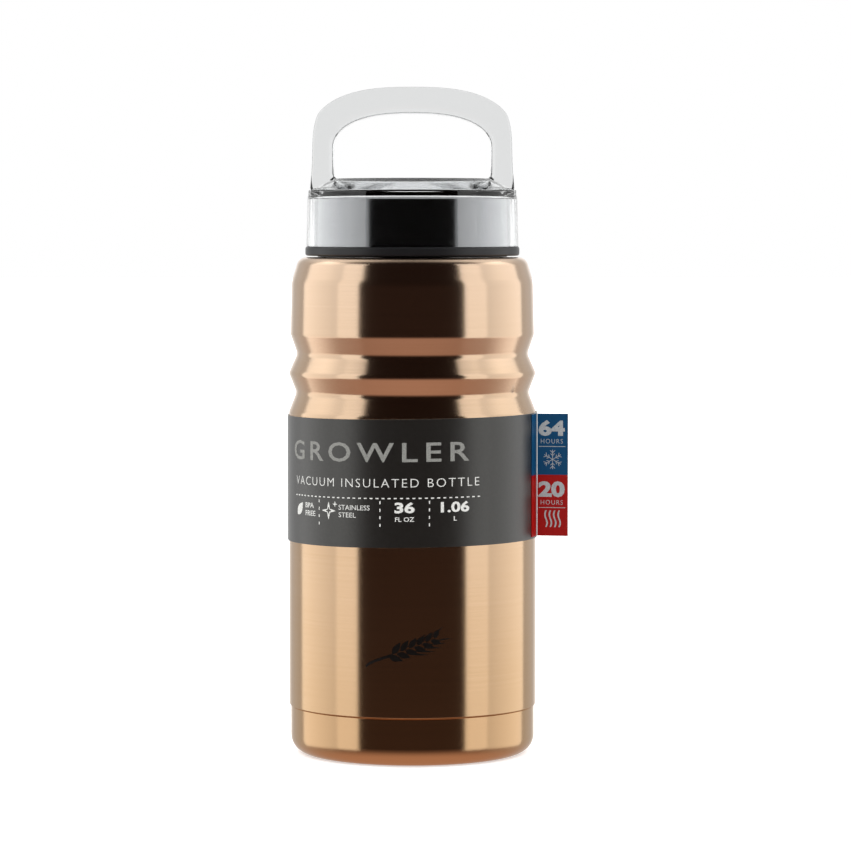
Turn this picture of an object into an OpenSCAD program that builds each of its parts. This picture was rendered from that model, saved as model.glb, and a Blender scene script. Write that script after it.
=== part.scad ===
// Vacuum-insulated steel growler with a clear screw lid, a fixed handle loop and a card sleeve.
// Millimetres. +Z is up, the front faces -Y, and the origin is the centre of the underside.

/* [Body] */
// Outside diameter of the straight lower body
body_d = 98; // [92:0.5:125]
// Height of the flat shoulder above the table
body_h = 196.8; // [150:0.1:260]
// Sheet thickness of the outer shell
outer_wall = 0.7; // [0.5:0.05:1]
// How much the radius shrinks from the grooves up to the shoulder
body_taper = 1.2; // [0.4:0.1:1.6]
// Height of the sloping band below the shoulder
shoulder_drop = 9.6; // [7:0.1:14]
// How far the sloping band leans in
shoulder_inset = 2.9; // [1.5:0.1:4]
// Edge radius of the shoulder
shoulder_round = 4; // [2:0.5:5]

/* [Grooves] */
// Number of rolled grooves
groove_count = 2; // [1:1:3]
// Height of one groove
groove_pitch = 15.3; // [11:0.1:18]
// Depth of a groove below the body line
groove_depth = 2.8; // [1:0.1:2.8]
// Distance from the shoulder down to the first groove
groove_drop = 30.5; // [20:0.5:40]
// How much further each ridge stands out than the one above
ridge_step = 0.4; // [0:0.1:0.5]
// Edge radius of ridges and grooves
groove_round = 3; // [2:0.5:6]

/* [Base] */
// Height of the base cup below the seam
base_h = 18.8; // [14:0.1:26]
// Step of the base cup inside the body diameter, per side
base_inset = 0.6; // [0.3:0.1:1]
// Edge radius of the base cup
base_round = 7; // [3:0.5:8]
// Width of the visible seam between shell and base cup
seam_gap = 0.4; // [0.2:0.1:1]
// Diameter of the pad under the base
pad_d = 68.6; // [50:0.2:76]
// Thickness of the pad under the base
pad_t = 2.2; // [1.5:0.1:3]

/* [Inner flask] */
// Diameter of the mouth opening
mouth_d = 62; // [50:0.5:66]
// Sheet thickness of the inner flask
inner_wall = 0.6; // [0.4:0.05:0.9]
// Width of the vacuum space beside the body
vacuum_gap = 3.7; // [3.5:0.1:6]
// Width of the vacuum space inside the neck
neck_gap = 1.9; // [1.2:0.1:3]
// Height of the inner floor's underside above the table
floor_z = 14; // [13.5:0.1:20]
// Thickness of the reflective foil
foil_t = 0.15; // [0.1:0.05:0.3]

/* [Neck and thread] */
// Height of the lip above the shoulder
neck_h = 17.2; // [15:0.1:24]
// Sheet thickness of the neck ring
neck_wall = 0.8; // [0.6:0.05:1.2]
// Rise of the thread in one turn
thread_lead = 6; // [5:0.5:7]
// Height of the thread ridge
thread_depth = 1.4; // [1:0.1:1.8]
// Turns of thread on the neck
neck_turns = 1.5; // [1.25:0.25:1.5]
// Turns of thread in the lid
lid_turns = 1.25; // [1:0.25:1.25]
// Radial clearance between the two threads
thread_clear = 0.3; // [0.25:0.05:0.5]

/* [Lid] */
// Height of the whole lid, from the shoulder to its flat top
lid_h = 31; // [29:0.1:38]
// Thickness of the threaded skirt
skirt_wall = 2.2; // [1.8:0.1:3]
// Thickness of the polished trim cup
trim_wall = 0.5; // [0.3:0.05:0.8]
// Thickness of the clear cap's side
clear_wall = 3; // [2.5:0.1:4]
// Height of the coloured flange under the clear cap
flange_h = 3.6; // [2.5:0.1:5]
// Thickness of the gasket that seals on the lip
gasket_t = 2.3; // [1.5:0.1:3]
// Depth of the insulated plug below the lip
plug_depth = 16; // [8:0.5:16.5]
// Height of the clear cap's sloping edge
cone_h = 4.7; // [3:0.1:6]
// Width of the clear cap's sloping edge
cone_w = 9.6; // [7:0.1:12]

/* [Handle] */
// Height of the handle loop above the lid
handle_h = 35.9; // [30:0.1:50]
// Height of the curved part at the top of the loop
arch_h = 23.7; // [16:0.1:29]
// Thickness of the bar across the top
bar_t = 10.2; // [7:0.1:13]
// Width of each leg
leg_w = 9.55; // [7:0.05:12]
// Depth of the handle from front to back
handle_depth = 22; // [14:0.5:28]

/* [Card sleeve] */
// Height of the card sleeve
sleeve_h = 49.5; // [30:0.5:60]
// Thickness of the card
card_t = 0.35; // [0.25:0.05:0.5]
// Clearance between card and body
sleeve_clear = 0.25; // [0.2:0.05:0.6]
// How far the sleeve sits askew, in degrees
sleeve_tilt = 0.7; // [0:0.1:0.8]
// Width of the tag that stands out of the sleeve
tag_w = 12.2; // [8:0.1:18]
// Angle of the tag from the right-hand side towards the front
tag_angle = 10; // [0:1:40]

/* [Hidden] */
$fn = 96;

weld_gap = 0.05;      // sheets that are welded edge to edge
bond_gap = 0.1;       // mouldings that are glued or snapped together
arc_step = 12;        // degrees in one step of a rounded profile corner

// Body line
body_r = body_d / 2;
straight_top = body_h - groove_drop - groove_count * groove_pitch;
shoulder_line_z = body_h - shoulder_drop;
seam_top = base_h + seam_gap;
lap_h = 5;            // how far the base cup's rim reaches up inside the shell
shell_bore_r = body_r - outer_wall;

// Inner flask and vacuum space
mouth_r = mouth_d / 2;
inner_r = shell_bore_r - vacuum_gap;
inner_neck_r = mouth_r + inner_wall;
inner_seam_z = floor_z + 6;
inner_shoulder_z = shoulder_line_z - 3;
inner_shoulder_h = 8;
bottom_z = floor_z - 5;
bottom_r = inner_r + 1.8;
bottom_lap_z = seam_top + lap_h + 1.4;

// Neck
lip_z = body_h + neck_h;
neck_root_r = inner_neck_r + neck_gap + neck_wall;
neck_foot_w = 3.7;
thread_crest_r = neck_root_r + thread_depth;
thread_crest_w = 1.4;
thread_slope = 0.5;   // how far a flank leans, per millimetre of ridge height
thread_z = body_h + 3.7;
thread_sink = 0.4;    // how far a ridge is rooted in its wall
thread_play = 0.3;    // axial gap between the loaded flanks

// Lid, from the inside out
skirt_bore_r = thread_crest_r + thread_clear;
lid_crest_r = skirt_bore_r - thread_depth + thread_clear;
// The lid's ridge bears on the underside of the neck's ridge
thread_overlap = thread_crest_r - lid_crest_r;
lid_thread_z = thread_z - thread_crest_w - thread_slope * thread_overlap - thread_play;
skirt_r = skirt_bore_r + skirt_wall;
trim_r = skirt_r + 2 * bond_gap + trim_wall;
clear_r = trim_r + bond_gap + clear_wall;
flange_r = clear_r + 0.4;
lid_z = body_h + 0.2;
lid_step_h = 0.4;
flange_z = lid_z + lid_step_h;
flange_top = flange_z + flange_h;
ceiling_z = lip_z + bond_gap + gasket_t + bond_gap;
ceiling_t = 2;
lid_top = body_h + lid_h;
cone_z = lid_top - cone_h;
clear_draft = 0.36;   // the clear cap is this much narrower at its upper edge
top_flat_r = clear_r - clear_draft - cone_w;
trim_top = lid_top - clear_wall - bond_gap - 0.3;
trim_cone_h = 4;
trim_flat_r = top_flat_r - 0.6;

// Plug
plug_r = mouth_r - 0.8;
plug_z = lip_z - plug_depth;
plug_wall = 1.5;
plug_draft = 0.6;

// Handle
handle_top = lid_top + handle_h;
handle_a = clear_r - 1.5;
handle_power = 2.65;
opening_a = handle_a - leg_w;
opening_b = arch_h + 0.4 - bar_t;
opening_power = 2.4;

// Getter, beside the evacuation hole
getter_x = 20;
getter_h = 1.8;

// Sleeve and tag
sleeve_bore_r = body_r + sleeve_clear;
sleeve_r = sleeve_bore_r + card_t;
sleeve_top = straight_top - 0.7;
sleeve_z = sleeve_top - sleeve_h;
strip_t = 0.25;
leaf_t = 0.3;
fold_r = sleeve_r + 0.03 + strip_t + leaf_t + 0.02;
strip_w = 8;
tag_h = sleeve_h - 1.1;
tag_rise = 1.3;       // the tag's lower edge above the sleeve's nominal lower edge

// Small geometry helpers. A path is a list of [radius, height] points.
function unit(v) = v / norm(v);
function inward(a, b) = let (d = unit(b - a)) [d.y, -d.x];
function xy(p) = [p.x, p.y];
function reversed(list) = [for (i = [len(list) - 1:-1:0]) list[i]];

// The arc that rounds corner b of a path between a and c
function fillet(a, b, c, r) =
    let (
        u = unit(a - b),
        v = unit(c - b),
        half = acos(u * v) / 2,
        centre = b + unit(u + v) * r / sin(half),
        first = b + u * r / tan(half) - centre,
        last = b + v * r / tan(half) - centre,
        a0 = atan2(first.y, first.x),
        turn = (atan2(last.y, last.x) - a0 + 540) % 360 - 180,
        steps = max(2, ceil(abs(turn) / arc_step))
    )
    [for (k = [0:steps]) let (t = a0 + turn * k / steps) centre + r * [cos(t), sin(t)]];

// A path from corners of the form [radius, height, corner radius]
function rounded(corners) = [
    for (i = [0:len(corners) - 1])
        each (i == 0 || i == len(corners) - 1 || corners[i][2] == 0)
            ? [xy(corners[i])]
            : fillet(xy(corners[i - 1]), xy(corners[i]), xy(corners[i + 1]), corners[i][2])
];

// The same path moved sideways by d, towards the inside of the vessel
function shifted(path, d) = [
    for (i = [0:len(path) - 1])
        let (
            n0 = inward(path[max(0, i - 1)], path[max(1, i)]),
            n1 = inward(path[min(i, len(path) - 2)], path[min(i + 1, len(path) - 1)]),
            m = unit(n0 + n1)
        )
        path[i] + m * d / (m * n0)
];

function superellipse(a, b, power, from, to, steps) = [
    for (k = [0:steps])
        let (t = from + (to - from) * k / steps)
        [
            a * sign(cos(t)) * pow(abs(cos(t)), 2 / power),
            b * sign(sin(t)) * pow(abs(sin(t)), 2 / power),
        ]
];

// Sheet metal or a moulding of even thickness, turned about the axis
module turned_sheet(path, wall) {
    rotate_extrude()
        polygon(concat(path, reversed(shifted(path, wall))));
}

// One thread ridge, right-handed, rising with the angle and tapering to nothing at both ends
module thread_ridge(root_r, crest_r, z, from, turns) {
    step = 10;
    stations = round(turns * 360 / step);
    side = sign(crest_r - root_r);
    base_r = root_r - side * thread_sink;
    crest_half = thread_crest_w / 2;
    base_half = crest_half + thread_slope * abs(crest_r - base_r);
    run_out = 3;
    points = [
        for (i = [0:stations])
            let (
                t = from + i * step,
                h = z + thread_lead * t / 360,
                grow = min(1, (i + 0.3) / run_out, (stations - i + 0.3) / run_out),
                tip_r = root_r + (crest_r - root_r) * grow,
                section = [
                    [base_r, h - side * base_half],
                    [tip_r, h - side * crest_half],
                    [tip_r, h + side * crest_half],
                    [base_r, h + side * base_half],
                ]
            )
            for (p = section) [p.x * cos(t), p.x * sin(t), p.y]
    ];
    sides = [
        for (i = [0:stations - 1], k = [0:3])
            let (a = 4 * i + k, b = 4 * i + (k + 1) % 4)
            each [[a, b, b + 4], [a, b + 4, a + 4]]
    ];
    end = 4 * stations;
    caps = [[3, 2, 1], [3, 1, 0], [end, end + 1, end + 2], [end, end + 2, end + 3]];
    polyhedron(points, concat(sides, caps));
}

// Outside line of the body at a height between the straight part and the shoulder
function body_line(z) =
    body_r - body_taper * (z - straight_top) / (shoulder_line_z - straight_top);

function groove_corners() = [
    for (i = [0:groove_count - 1])
        let (
            ridge_z = body_h - groove_drop - i * groove_pitch,
            valley_z = ridge_z - groove_pitch / 2
        )
        each [
            [min(body_r, body_line(ridge_z) + i * ridge_step), ridge_z, groove_round],
            [body_line(valley_z) - groove_depth, valley_z, groove_round],
        ]
];

module outer_shell() {
    shoulder_r = body_r - body_taper;
    corners = concat(
        [
            [neck_root_r + weld_gap, body_h, 0],
            [shoulder_r - shoulder_inset, body_h, shoulder_round],
            [shoulder_r, shoulder_line_z, 10],
        ],
        groove_corners(),
        [[body_r, straight_top, groove_round], [body_r, seam_top, 0]]
    );
    color("#c68f68")
        turned_sheet(rounded(corners), outer_wall);
}

module threaded_neck() {
    corners = [
        [inner_neck_r + weld_gap, lip_z, 0],
        [neck_root_r, lip_z, 0.7],
        [neck_root_r, body_h - outer_wall, 0],
        [neck_root_r + neck_foot_w, body_h - outer_wall, 0],
    ];
    color("#c9cacb") {
        turned_sheet(rounded(corners), neck_wall);
        thread_ridge(neck_root_r, thread_crest_r, thread_z, 0, neck_turns);
    }
}

module inner_flask() {
    corners = [
        [inner_neck_r, lip_z, 0],
        [inner_neck_r, inner_shoulder_z + inner_shoulder_h, 5],
        [inner_r, inner_shoulder_z, 8],
        [inner_r, inner_seam_z, 0],
    ];
    color("#d2d3d2")
        turned_sheet(rounded(corners), inner_wall);
}

module inner_bottom() {
    corners = [[inner_r, inner_seam_z, 0], [inner_r, floor_z, 5], [0, floor_z, 0]];
    color("#cccdcc")
        turned_sheet(rounded(corners), inner_wall);
}

// Dished end of the outer shell, with the small hole that the air was drawn out through
module outer_bottom() {
    dimple_r = 6;
    hole_r = 1.5;
    corners = [
        [shell_bore_r - weld_gap, bottom_lap_z + 4, 0],
        [shell_bore_r - weld_gap, bottom_lap_z, 0],
        [bottom_r, bottom_lap_z - 1.8, 0],
        [bottom_r, bottom_z, 5],
        [dimple_r + 1, bottom_z, 0],
        [dimple_r, bottom_z + 1.4, 0],
        [hole_r, bottom_z + 1.4, 0],
    ];
    color("#c0c1c0")
        turned_sheet(rounded(corners), outer_wall);
}

// Bead of solder glass that closes the evacuation hole from below
module seal_bead() {
    color("#5b6a57")
        translate([0, 0, bottom_z + 1.4])
            intersection() {
                translate([0, 0, 4])
                    sphere(r = 5.4);
                translate([0, 0, -2])
                    cylinder(r = 4, h = 2);
            }
}

module getter() {
    color("#6d6a66")
        translate([getter_x, 0, floor_z - getter_h])
            cylinder(r = 4.5, h = getter_h);
}

// Spring strip, spot-welded to the inner floor, that holds the getter pill
module getter_clip() {
    strip = 0.3;
    reach = 6;
    foot = 3;
    top = floor_z;
    low = floor_z - getter_h - strip;
    outline = [
        [-reach - foot, top], [-reach - foot, top - strip], [-reach - strip, top - strip],
        [-reach - strip, low], [reach + strip, low], [reach + strip, top - strip],
        [reach + foot, top - strip], [reach + foot, top], [reach, top], [reach, low + strip],
        [-reach, low + strip], [-reach, top],
    ];
    color("#b9b9b6")
        translate([getter_x, 0, 0])
            rotate([90, 0, 0])
                linear_extrude(6, center = true)
                    polygon(outline);
}

// Foil wrapped round the inner flask
module radiation_foil() {
    foil_z = inner_seam_z + 8;
    color("#e0d9c8")
        difference() {
            translate([0, 0, foil_z])
                cylinder(r = inner_r + 0.2 + foil_t, h = inner_shoulder_z - 10 - foil_z);
            translate([0, 0, foil_z - 1])
                cylinder(r = inner_r + 0.2, h = inner_shoulder_z);
        }
}

module base_cup() {
    rim_r = shell_bore_r - bond_gap;
    cup_r = body_r - base_inset;
    pad_r = pad_d / 2 + 0.2;
    corners = [
        [rim_r, seam_top + lap_h, 0],
        [rim_r, seam_top + 0.3, 0],
        [cup_r, base_h, 0],
        [cup_r, 0, base_round],
        [pad_r + 1.2, 0, 0.8],
        [pad_r, pad_t, 0],
        [0, pad_t, 0],
    ];
    color("#b98159")
        turned_sheet(rounded(corners), outer_wall);
}

module base_pad() {
    edge = 0.6;
    corners = [[0, 0, 0], [pad_d / 2, 0, edge], [pad_d / 2, pad_t, 0], [0, pad_t, 0]];
    color("#232323")
        rotate_extrude()
            polygon(rounded(corners));
}

module lip_gasket() {
    inner = plug_r + 0.3;
    outer = skirt_bore_r - 0.3;
    low = lip_z + bond_gap;
    corners = [
        [inner, low + 0.4, 0],
        [inner, low, 0.4],
        [outer, low, 0.4],
        [outer, low + gasket_t, 0],
        [inner, low + gasket_t, 0],
    ];
    color("#dadbd6")
        rotate_extrude()
            polygon(rounded(corners));
}

function trim_path() = rounded([
    [0, trim_top, 0],
    [trim_flat_r, trim_top, 1],
    [trim_r, trim_top - trim_cone_h, 1.5],
    [trim_r, flange_top, 0],
]);

// Clear cap and handle loop, moulded in one piece
module lid_shell() {
    cap = rounded([
        [0, lid_top, 0],
        [top_flat_r, lid_top, 0.8],
        [clear_r - clear_draft - 0.2, cone_z, 1],
        [clear_r, flange_top, 0],
    ]);
    color("#dfe6ea", 0.45) {
        rotate_extrude()
            polygon(concat(cap, reversed(shifted(trim_path(), -bond_gap))));
        handle_loop();
    }
}

module handle_loop() {
    arch_z = handle_top - arch_h;
    arch = superellipse(handle_a, arch_h, handle_power, 0, 180, 48);
    outline = concat(
        [[clear_r + 1, cone_z - 1], [clear_r - 0.5, lid_top - 0.4], [handle_a + 0.5, arch_z - 7]],
        [for (p = arch) [p.x, p.y + arch_z]],
        [[-handle_a - 0.5, arch_z - 7], [-clear_r + 0.5, lid_top - 0.4], [-clear_r - 1, cone_z - 1]],
        [[-opening_a, lid_top - clear_wall / 2], [opening_a, lid_top - clear_wall / 2]]
    );
    hole = superellipse(opening_a, opening_b, opening_power, 0, 180, 40);
    hole_z = handle_top - bar_t - opening_b;
    difference() {
        intersection() {
            rotate([90, 0, 0])
                linear_extrude(handle_depth, center = true)
                    polygon(outline);
            translate([0, 0, flange_top])
                cylinder(r1 = clear_r, r2 = clear_r - 1.05, h = handle_top - flange_top + 1);
        }
        rotate([90, 0, 0])
            linear_extrude(handle_depth + 2, center = true)
                polygon(concat(
                    [for (p = hole) [p.x, p.y + hole_z]],
                    [[-opening_a, cone_z - 2], [opening_a, cone_z - 2]]
                ));
    }
}

module lid_trim() {
    color("#b9bdc2")
        turned_sheet(trim_path(), trim_wall);
}

// Insulating disc between the trim cup and the liner
module lid_foam() {
    gap = 0.3;
    low = ceiling_z + ceiling_t + bond_gap;
    high = trim_top - trim_wall - gap;
    rim_r = skirt_r - 1;
    color("#ecebe4")
        rotate_extrude()
            polygon([
                [0, low], [rim_r, low], [rim_r, trim_top - trim_cone_h - trim_wall - gap],
                [trim_flat_r - 1, high], [0, high],
            ]);
}

// Threaded moulding that the lid turns on
module lid_liner() {
    edge = 0.6;
    corners = [
        [skirt_bore_r, lid_z, 0],
        [skirt_r - 0.7, lid_z, 0],
        [skirt_r - 0.7, flange_z, 0],
        [flange_r, flange_z, edge],
        [flange_r, flange_top, edge],
        [skirt_r, flange_top, 0],
        [skirt_r, ceiling_z + ceiling_t, 1],
        [0, ceiling_z + ceiling_t, 0],
        [0, ceiling_z, 0],
        [skirt_bore_r, ceiling_z, 0],
    ];
    color("#1d1d1f") {
        rotate_extrude()
            polygon(rounded(corners));
        thread_ridge(skirt_bore_r, lid_crest_r, lid_thread_z, 30, lid_turns);
    }
}

// Hollow plug that reaches into the mouth
module plug_cup() {
    corners = [
        [plug_r, ceiling_z - bond_gap, 0],
        [plug_r - plug_draft, plug_z, 3],
        [0, plug_z, 0],
    ];
    color("#2a2a2c")
        turned_sheet(rounded(corners), plug_wall);
}

module plug_foam() {
    gap = 0.3;
    low = plug_z + plug_wall + gap;
    high = ceiling_z - gap;
    top_r = plug_r - plug_wall - gap;
    color("#ecebe4")
        rotate_extrude()
            polygon([
                [0, low], [top_r - plug_draft - 2.5, low], [top_r - plug_draft, low + 2.5],
                [top_r, high], [0, high],
            ]);
}

// Card band round the body; its edges lie a little askew
module label_sleeve() {
    mid_z = sleeve_z + sleeve_h / 2;
    reach = 4 * body_r;
    color("#47484a")
        intersection() {
            difference() {
                translate([0, 0, sleeve_z - 5])
                    cylinder(r = sleeve_r, h = sleeve_h + 10);
                translate([0, 0, sleeve_z - 6])
                    cylinder(r = sleeve_bore_r, h = sleeve_h + 12);
            }
            translate([0, 0, mid_z])
                rotate([0, -sleeve_tilt, 0])
                    cube([reach, reach, sleeve_h], center = true);
        }
}

// Coloured margin of the tag, glued flat on the sleeve in front of the fold
module tag_strip() {
    inner = sleeve_r + 0.03;
    sweep = strip_w / sleeve_r * 180 / PI;
    color("#1d4468")
        translate([0, 0, sleeve_z + tag_rise])
            rotate([0, 0, -tag_angle - sweep])
                rotate_extrude(angle = sweep)
                    translate([inner, 0])
                        square([strip_t, tag_h]);
}

// One leaf of the tag; side -1 is the front leaf and side 1 the back leaf
module tag_leaf(side) {
    rotate([0, 0, -tag_angle])
        translate([fold_r, side < 0 ? -leaf_t : 0, sleeve_z + tag_rise])
            cube([tag_w, leaf_t, tag_h]);
}

module tag_front() {
    color("#8a120d")
        tag_leaf(-1);
}

module tag_back() {
    color("#3b3c3e")
        tag_leaf(1);
}

outer_shell();
threaded_neck();
inner_flask();
inner_bottom();
outer_bottom();
base_cup();
base_pad();
seal_bead();
getter();
getter_clip();
radiation_foil();
lip_gasket();
lid_shell();
lid_trim();
lid_foam();
lid_liner();
plug_cup();
plug_foam();
label_sleeve();
tag_strip();
tag_front();
tag_back();
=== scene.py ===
"""Looks of a vacuum-insulated growler: a brushed copper-toned shell, a clear screw lid with a
handle loop, and a dark card sleeve with a folded side tag. Outlines are in millimetres as
(radius, height) points; meshes are in metres. The front faces -Y."""

import math

import bmesh
import bpy
from mathutils import Matrix, Vector


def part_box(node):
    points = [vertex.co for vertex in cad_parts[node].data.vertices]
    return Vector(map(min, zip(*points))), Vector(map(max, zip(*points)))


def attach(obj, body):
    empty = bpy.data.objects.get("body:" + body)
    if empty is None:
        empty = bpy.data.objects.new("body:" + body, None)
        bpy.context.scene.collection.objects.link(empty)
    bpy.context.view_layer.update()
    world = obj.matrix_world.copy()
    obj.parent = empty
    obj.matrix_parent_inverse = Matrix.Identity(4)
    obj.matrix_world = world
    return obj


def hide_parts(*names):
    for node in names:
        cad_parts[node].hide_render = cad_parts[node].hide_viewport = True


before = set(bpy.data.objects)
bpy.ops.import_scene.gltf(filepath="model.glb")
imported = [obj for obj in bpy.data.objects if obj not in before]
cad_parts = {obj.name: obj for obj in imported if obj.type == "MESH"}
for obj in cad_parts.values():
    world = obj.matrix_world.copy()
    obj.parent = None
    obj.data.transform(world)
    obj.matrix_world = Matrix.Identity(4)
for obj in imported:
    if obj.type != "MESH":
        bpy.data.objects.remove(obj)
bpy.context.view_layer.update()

MM = 0.001
SEGMENTS = 192          # facets round a turned piece
ARC_STEP = 7            # degrees in one step of a rounded corner
SHARP = math.radians(35)


# ---------------------------------------------------------------- sizes from the frame

def reach(node):
    """Largest radius, lowest and highest point of a node round the axis, in millimetres."""
    low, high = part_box(node)
    return high.x / MM, low.z / MM, high.z / MM


SHELL_R, SHELL_Z, BODY_H = reach("outer_shell")
BASE_R, BASE_Z, BASE_RIM_Z = reach("base_cup")
PAD_R, PAD_Z, PAD_TOP = reach("base_pad")
NECK_FOOT_R, _, LIP_Z = reach("threaded_neck")
FLASK_R, FLASK_Z, FLASK_TOP = reach("inner_flask")
FLOOR_R, FLOOR_Z, FLOOR_TOP = reach("inner_bottom")
GASKET_R, GASKET_Z, GASKET_TOP = reach("lip_gasket")
CAP_R, CAP_Z, HANDLE_TOP = reach("lid_shell")
TRIM_R, TRIM_Z, TRIM_TOP = reach("lid_trim")
FLANGE_R, LINER_Z, LINER_TOP = reach("lid_liner")
PLUG_R, PLUG_Z, PLUG_TOP = reach("plug_cup")
SLEEVE_R, SLEEVE_LOW, SLEEVE_HIGH = reach("label_sleeve")
TAG_LOW, TAG_HIGH = (corner.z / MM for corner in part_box("tag_front"))

# Sheet and moulding thicknesses
SHELL_WALL = 0.7
FLASK_WALL = 0.6
NECK_WALL = 0.8
TRIM_WALL = 0.5
PLUG_WALL = 1.5
CARD = 0.35
WELD = 0.05             # space between sheets that are welded
BOND = 0.1              # space between pieces that are glued or snapped together

# Body line: two rolled grooves between the straight side and the shoulder
GROOVES = 2
GROOVE_PITCH = 15.3
GROOVE_DEPTH = 2.8
RIDGE_STEP = 0.4        # how much further each ridge stands out than the one above
GROOVE_ROUND = 3
GROOVE_DROP = 30.5
TAPER = 1.2
SHOULDER_DROP = 9.6
SHOULDER_INSET = 2.9
STRAIGHT_TOP = BODY_H - GROOVE_DROP - GROOVES * GROOVE_PITCH
SHOULDER_Z = BODY_H - SHOULDER_DROP

# Neck and screw thread
NECK_BORE_R = 31.65
NECK_ROOT_R = 34.3      # outside of the neck between the ridges of its thread
FIRST_TURN = math.pi / 2
LEAD = 6.0
RIDGE_DEPTH = 1.4
RIDGE_HALF = 1.45       # half the width of a ridge at its root
CREST_HALF = 0.55       # half the width of its rounded crest
THREAD_STEP = 0.3       # distance between the points that carry a thread

# Clear cap and handle loop
LID_H = 31.0
CONE_H = 4.7            # sloping edge of the cap
CONE_W = 9.6
CAP_DRAFT = 0.56
CAP_TOP = BODY_H + LID_H
CONE_Z = CAP_TOP - CONE_H
CAP_FLAT_R = CAP_R - 0.36 - CONE_W
HANDLE_DEPTH = 22.0

# Sleeve and tag
SLEEVE_TILT = math.radians(0.7)
SLEEVE_MID = (SLEEVE_LOW + SLEEVE_HIGH) / 2
TAG_TURN = math.radians(10)
TAG_W = 12.2
LEAF_T = 0.3
STRIP_T = 0.25
STRIP_W = 8.0
STRIP_R = SLEEVE_R + 0.03
FOLD_R = STRIP_R + STRIP_T + LEAF_T + 0.02
TAG_OUT = Vector((math.cos(TAG_TURN), -math.sin(TAG_TURN), 0))
TAG_BACK = Vector((math.sin(TAG_TURN), math.cos(TAG_TURN), 0))

# Print. Places round the sleeve are in degrees from the front, towards the right
INK = 0.03              # how far print stands on its surface
TITLE_LEFT, TITLE_RIGHT = -68.3, 26.5
LINES_LEFT, LINES_RIGHT = -65.9, 31.6
CELL_EDGES = (-46.7, -14.4, 7.8)
TITLE_Z = 122.3
SUBLINE_Z = 110.5
RULE_Z = 104.6
CELL_Z = 99.4
UNCUT = 20              # a cutting step wider than any print on the flat tag


# ---------------------------------------------------------------- nodes and colours

def srgb(code):
    """An sRGB hex colour as linear RGBA."""
    parts = [int(code[i:i + 2], 16) / 255 for i in (1, 3, 5)]
    return [c / 12.92 if c <= 0.04045 else ((c + 0.055) / 1.055) ** 2.4 for c in parts] + [1.0]


def put(tree, kind, inputs=None, **settings):
    """Adds a node with its settings; an input takes a value or the output that feeds it."""
    made = tree.nodes.new(kind)
    for name, value in settings.items():
        setattr(made, name, value)
    for name, value in (inputs or {}).items():
        if isinstance(value, bpy.types.NodeSocket):
            tree.links.new(value, made.inputs[name])
        else:
            made.inputs[name].default_value = value
    return made


def new_material(name):
    made = bpy.data.materials.new(name)
    made.use_nodes = True
    made.node_tree.nodes.clear()
    return made, made.node_tree


def lacquered_steel(name, low, high):
    """Stainless steel brushed round the body under copper-toned lacquer. The brushing keeps
    reflections crisp sideways and draws them out up and down. Its colour is deeper towards the
    base, and it drifts a little."""
    made, tree = new_material(name)
    place = put(tree, "ShaderNodeTexCoord").outputs["Object"]
    # Streaks 0.4 mm high and about 80 mm long: the real 0.05 mm lines would not show
    along = put(tree, "ShaderNodeMapping", {"Vector": place, "Scale": (12, 12, 2500)})
    lines = put(tree, "ShaderNodeTexNoise", {
        "Vector": along.outputs[0], "Scale": 1.0, "Detail": 3.0, "Roughness": 0.6})
    drift = put(tree, "ShaderNodeTexNoise", {"Vector": place, "Scale": 22.0, "Detail": 1.0})
    height = put(tree, "ShaderNodeSeparateXYZ", {"Vector": place})
    # The colour runs deeper towards the base, set by height, with a little drift
    rise = put(tree, "ShaderNodeMapRange", {"Value": height.outputs[2], "From Max": BODY_H * MM})
    uneven = put(tree, "ShaderNodeMath", {0: lines.outputs[0], 1: drift.outputs[0]}, operation="MULTIPLY")
    share = put(tree, "ShaderNodeMath", {0: uneven.outputs[0], 1: -0.5, 2: rise.outputs[0]},
                operation="MULTIPLY_ADD", use_clamp=True)
    tint = put(tree, "ShaderNodeMix", {0: share.outputs[0], 6: srgb(low), 7: srgb(high)},
               data_type="RGBA")
    rough = put(tree, "ShaderNodeMapRange", {"Value": lines.outputs[0], "To Min": 0.17, "To Max": 0.23})
    bump = put(tree, "ShaderNodeBump", {
        "Height": lines.outputs[0], "Strength": 0.12, "Distance": 0.00002})
    round_it = put(tree, "ShaderNodeTangent", direction_type="UV_MAP", uv_map="around")
    shader = put(tree, "ShaderNodeBsdfPrincipled", {
        "Base Color": tint.outputs[2], "Metallic": 1.0, "Roughness": rough.outputs[0],
        "Anisotropic": 0.8, "Anisotropic Rotation": 0.25, "Normal": bump.outputs[0],
        "Tangent": round_it.outputs[0]})
    put(tree, "ShaderNodeOutputMaterial", {"Surface": shader.outputs[0]})
    return made


def bare_steel(name):
    """Bare stainless steel, turned and brushed: grey, with fine rings and soft long highlights."""
    made, tree = new_material(name)
    place = put(tree, "ShaderNodeTexCoord").outputs["Object"]
    along = put(tree, "ShaderNodeMapping", {"Vector": place, "Scale": (30, 30, 2200)})
    lines = put(tree, "ShaderNodeTexNoise", {
        "Vector": along.outputs[0], "Scale": 1.0, "Detail": 4.0, "Roughness": 0.65})
    tint = put(tree, "ShaderNodeMix", {
        0: lines.outputs[0], 6: srgb("#D6D6D4"), 7: srgb("#B9BAB9")}, data_type="RGBA")
    rough = put(tree, "ShaderNodeMapRange", {"Value": lines.outputs[0], "To Min": 0.24, "To Max": 0.40})
    bump = put(tree, "ShaderNodeBump", {
        "Height": lines.outputs[0], "Strength": 0.25, "Distance": 0.00003})
    shader = put(tree, "ShaderNodeBsdfPrincipled", {
        "Base Color": tint.outputs[2], "Metallic": 1.0, "Roughness": rough.outputs[0],
        "Normal": bump.outputs[0]})
    put(tree, "ShaderNodeOutputMaterial", {"Surface": shader.outputs[0]})
    return made


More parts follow.
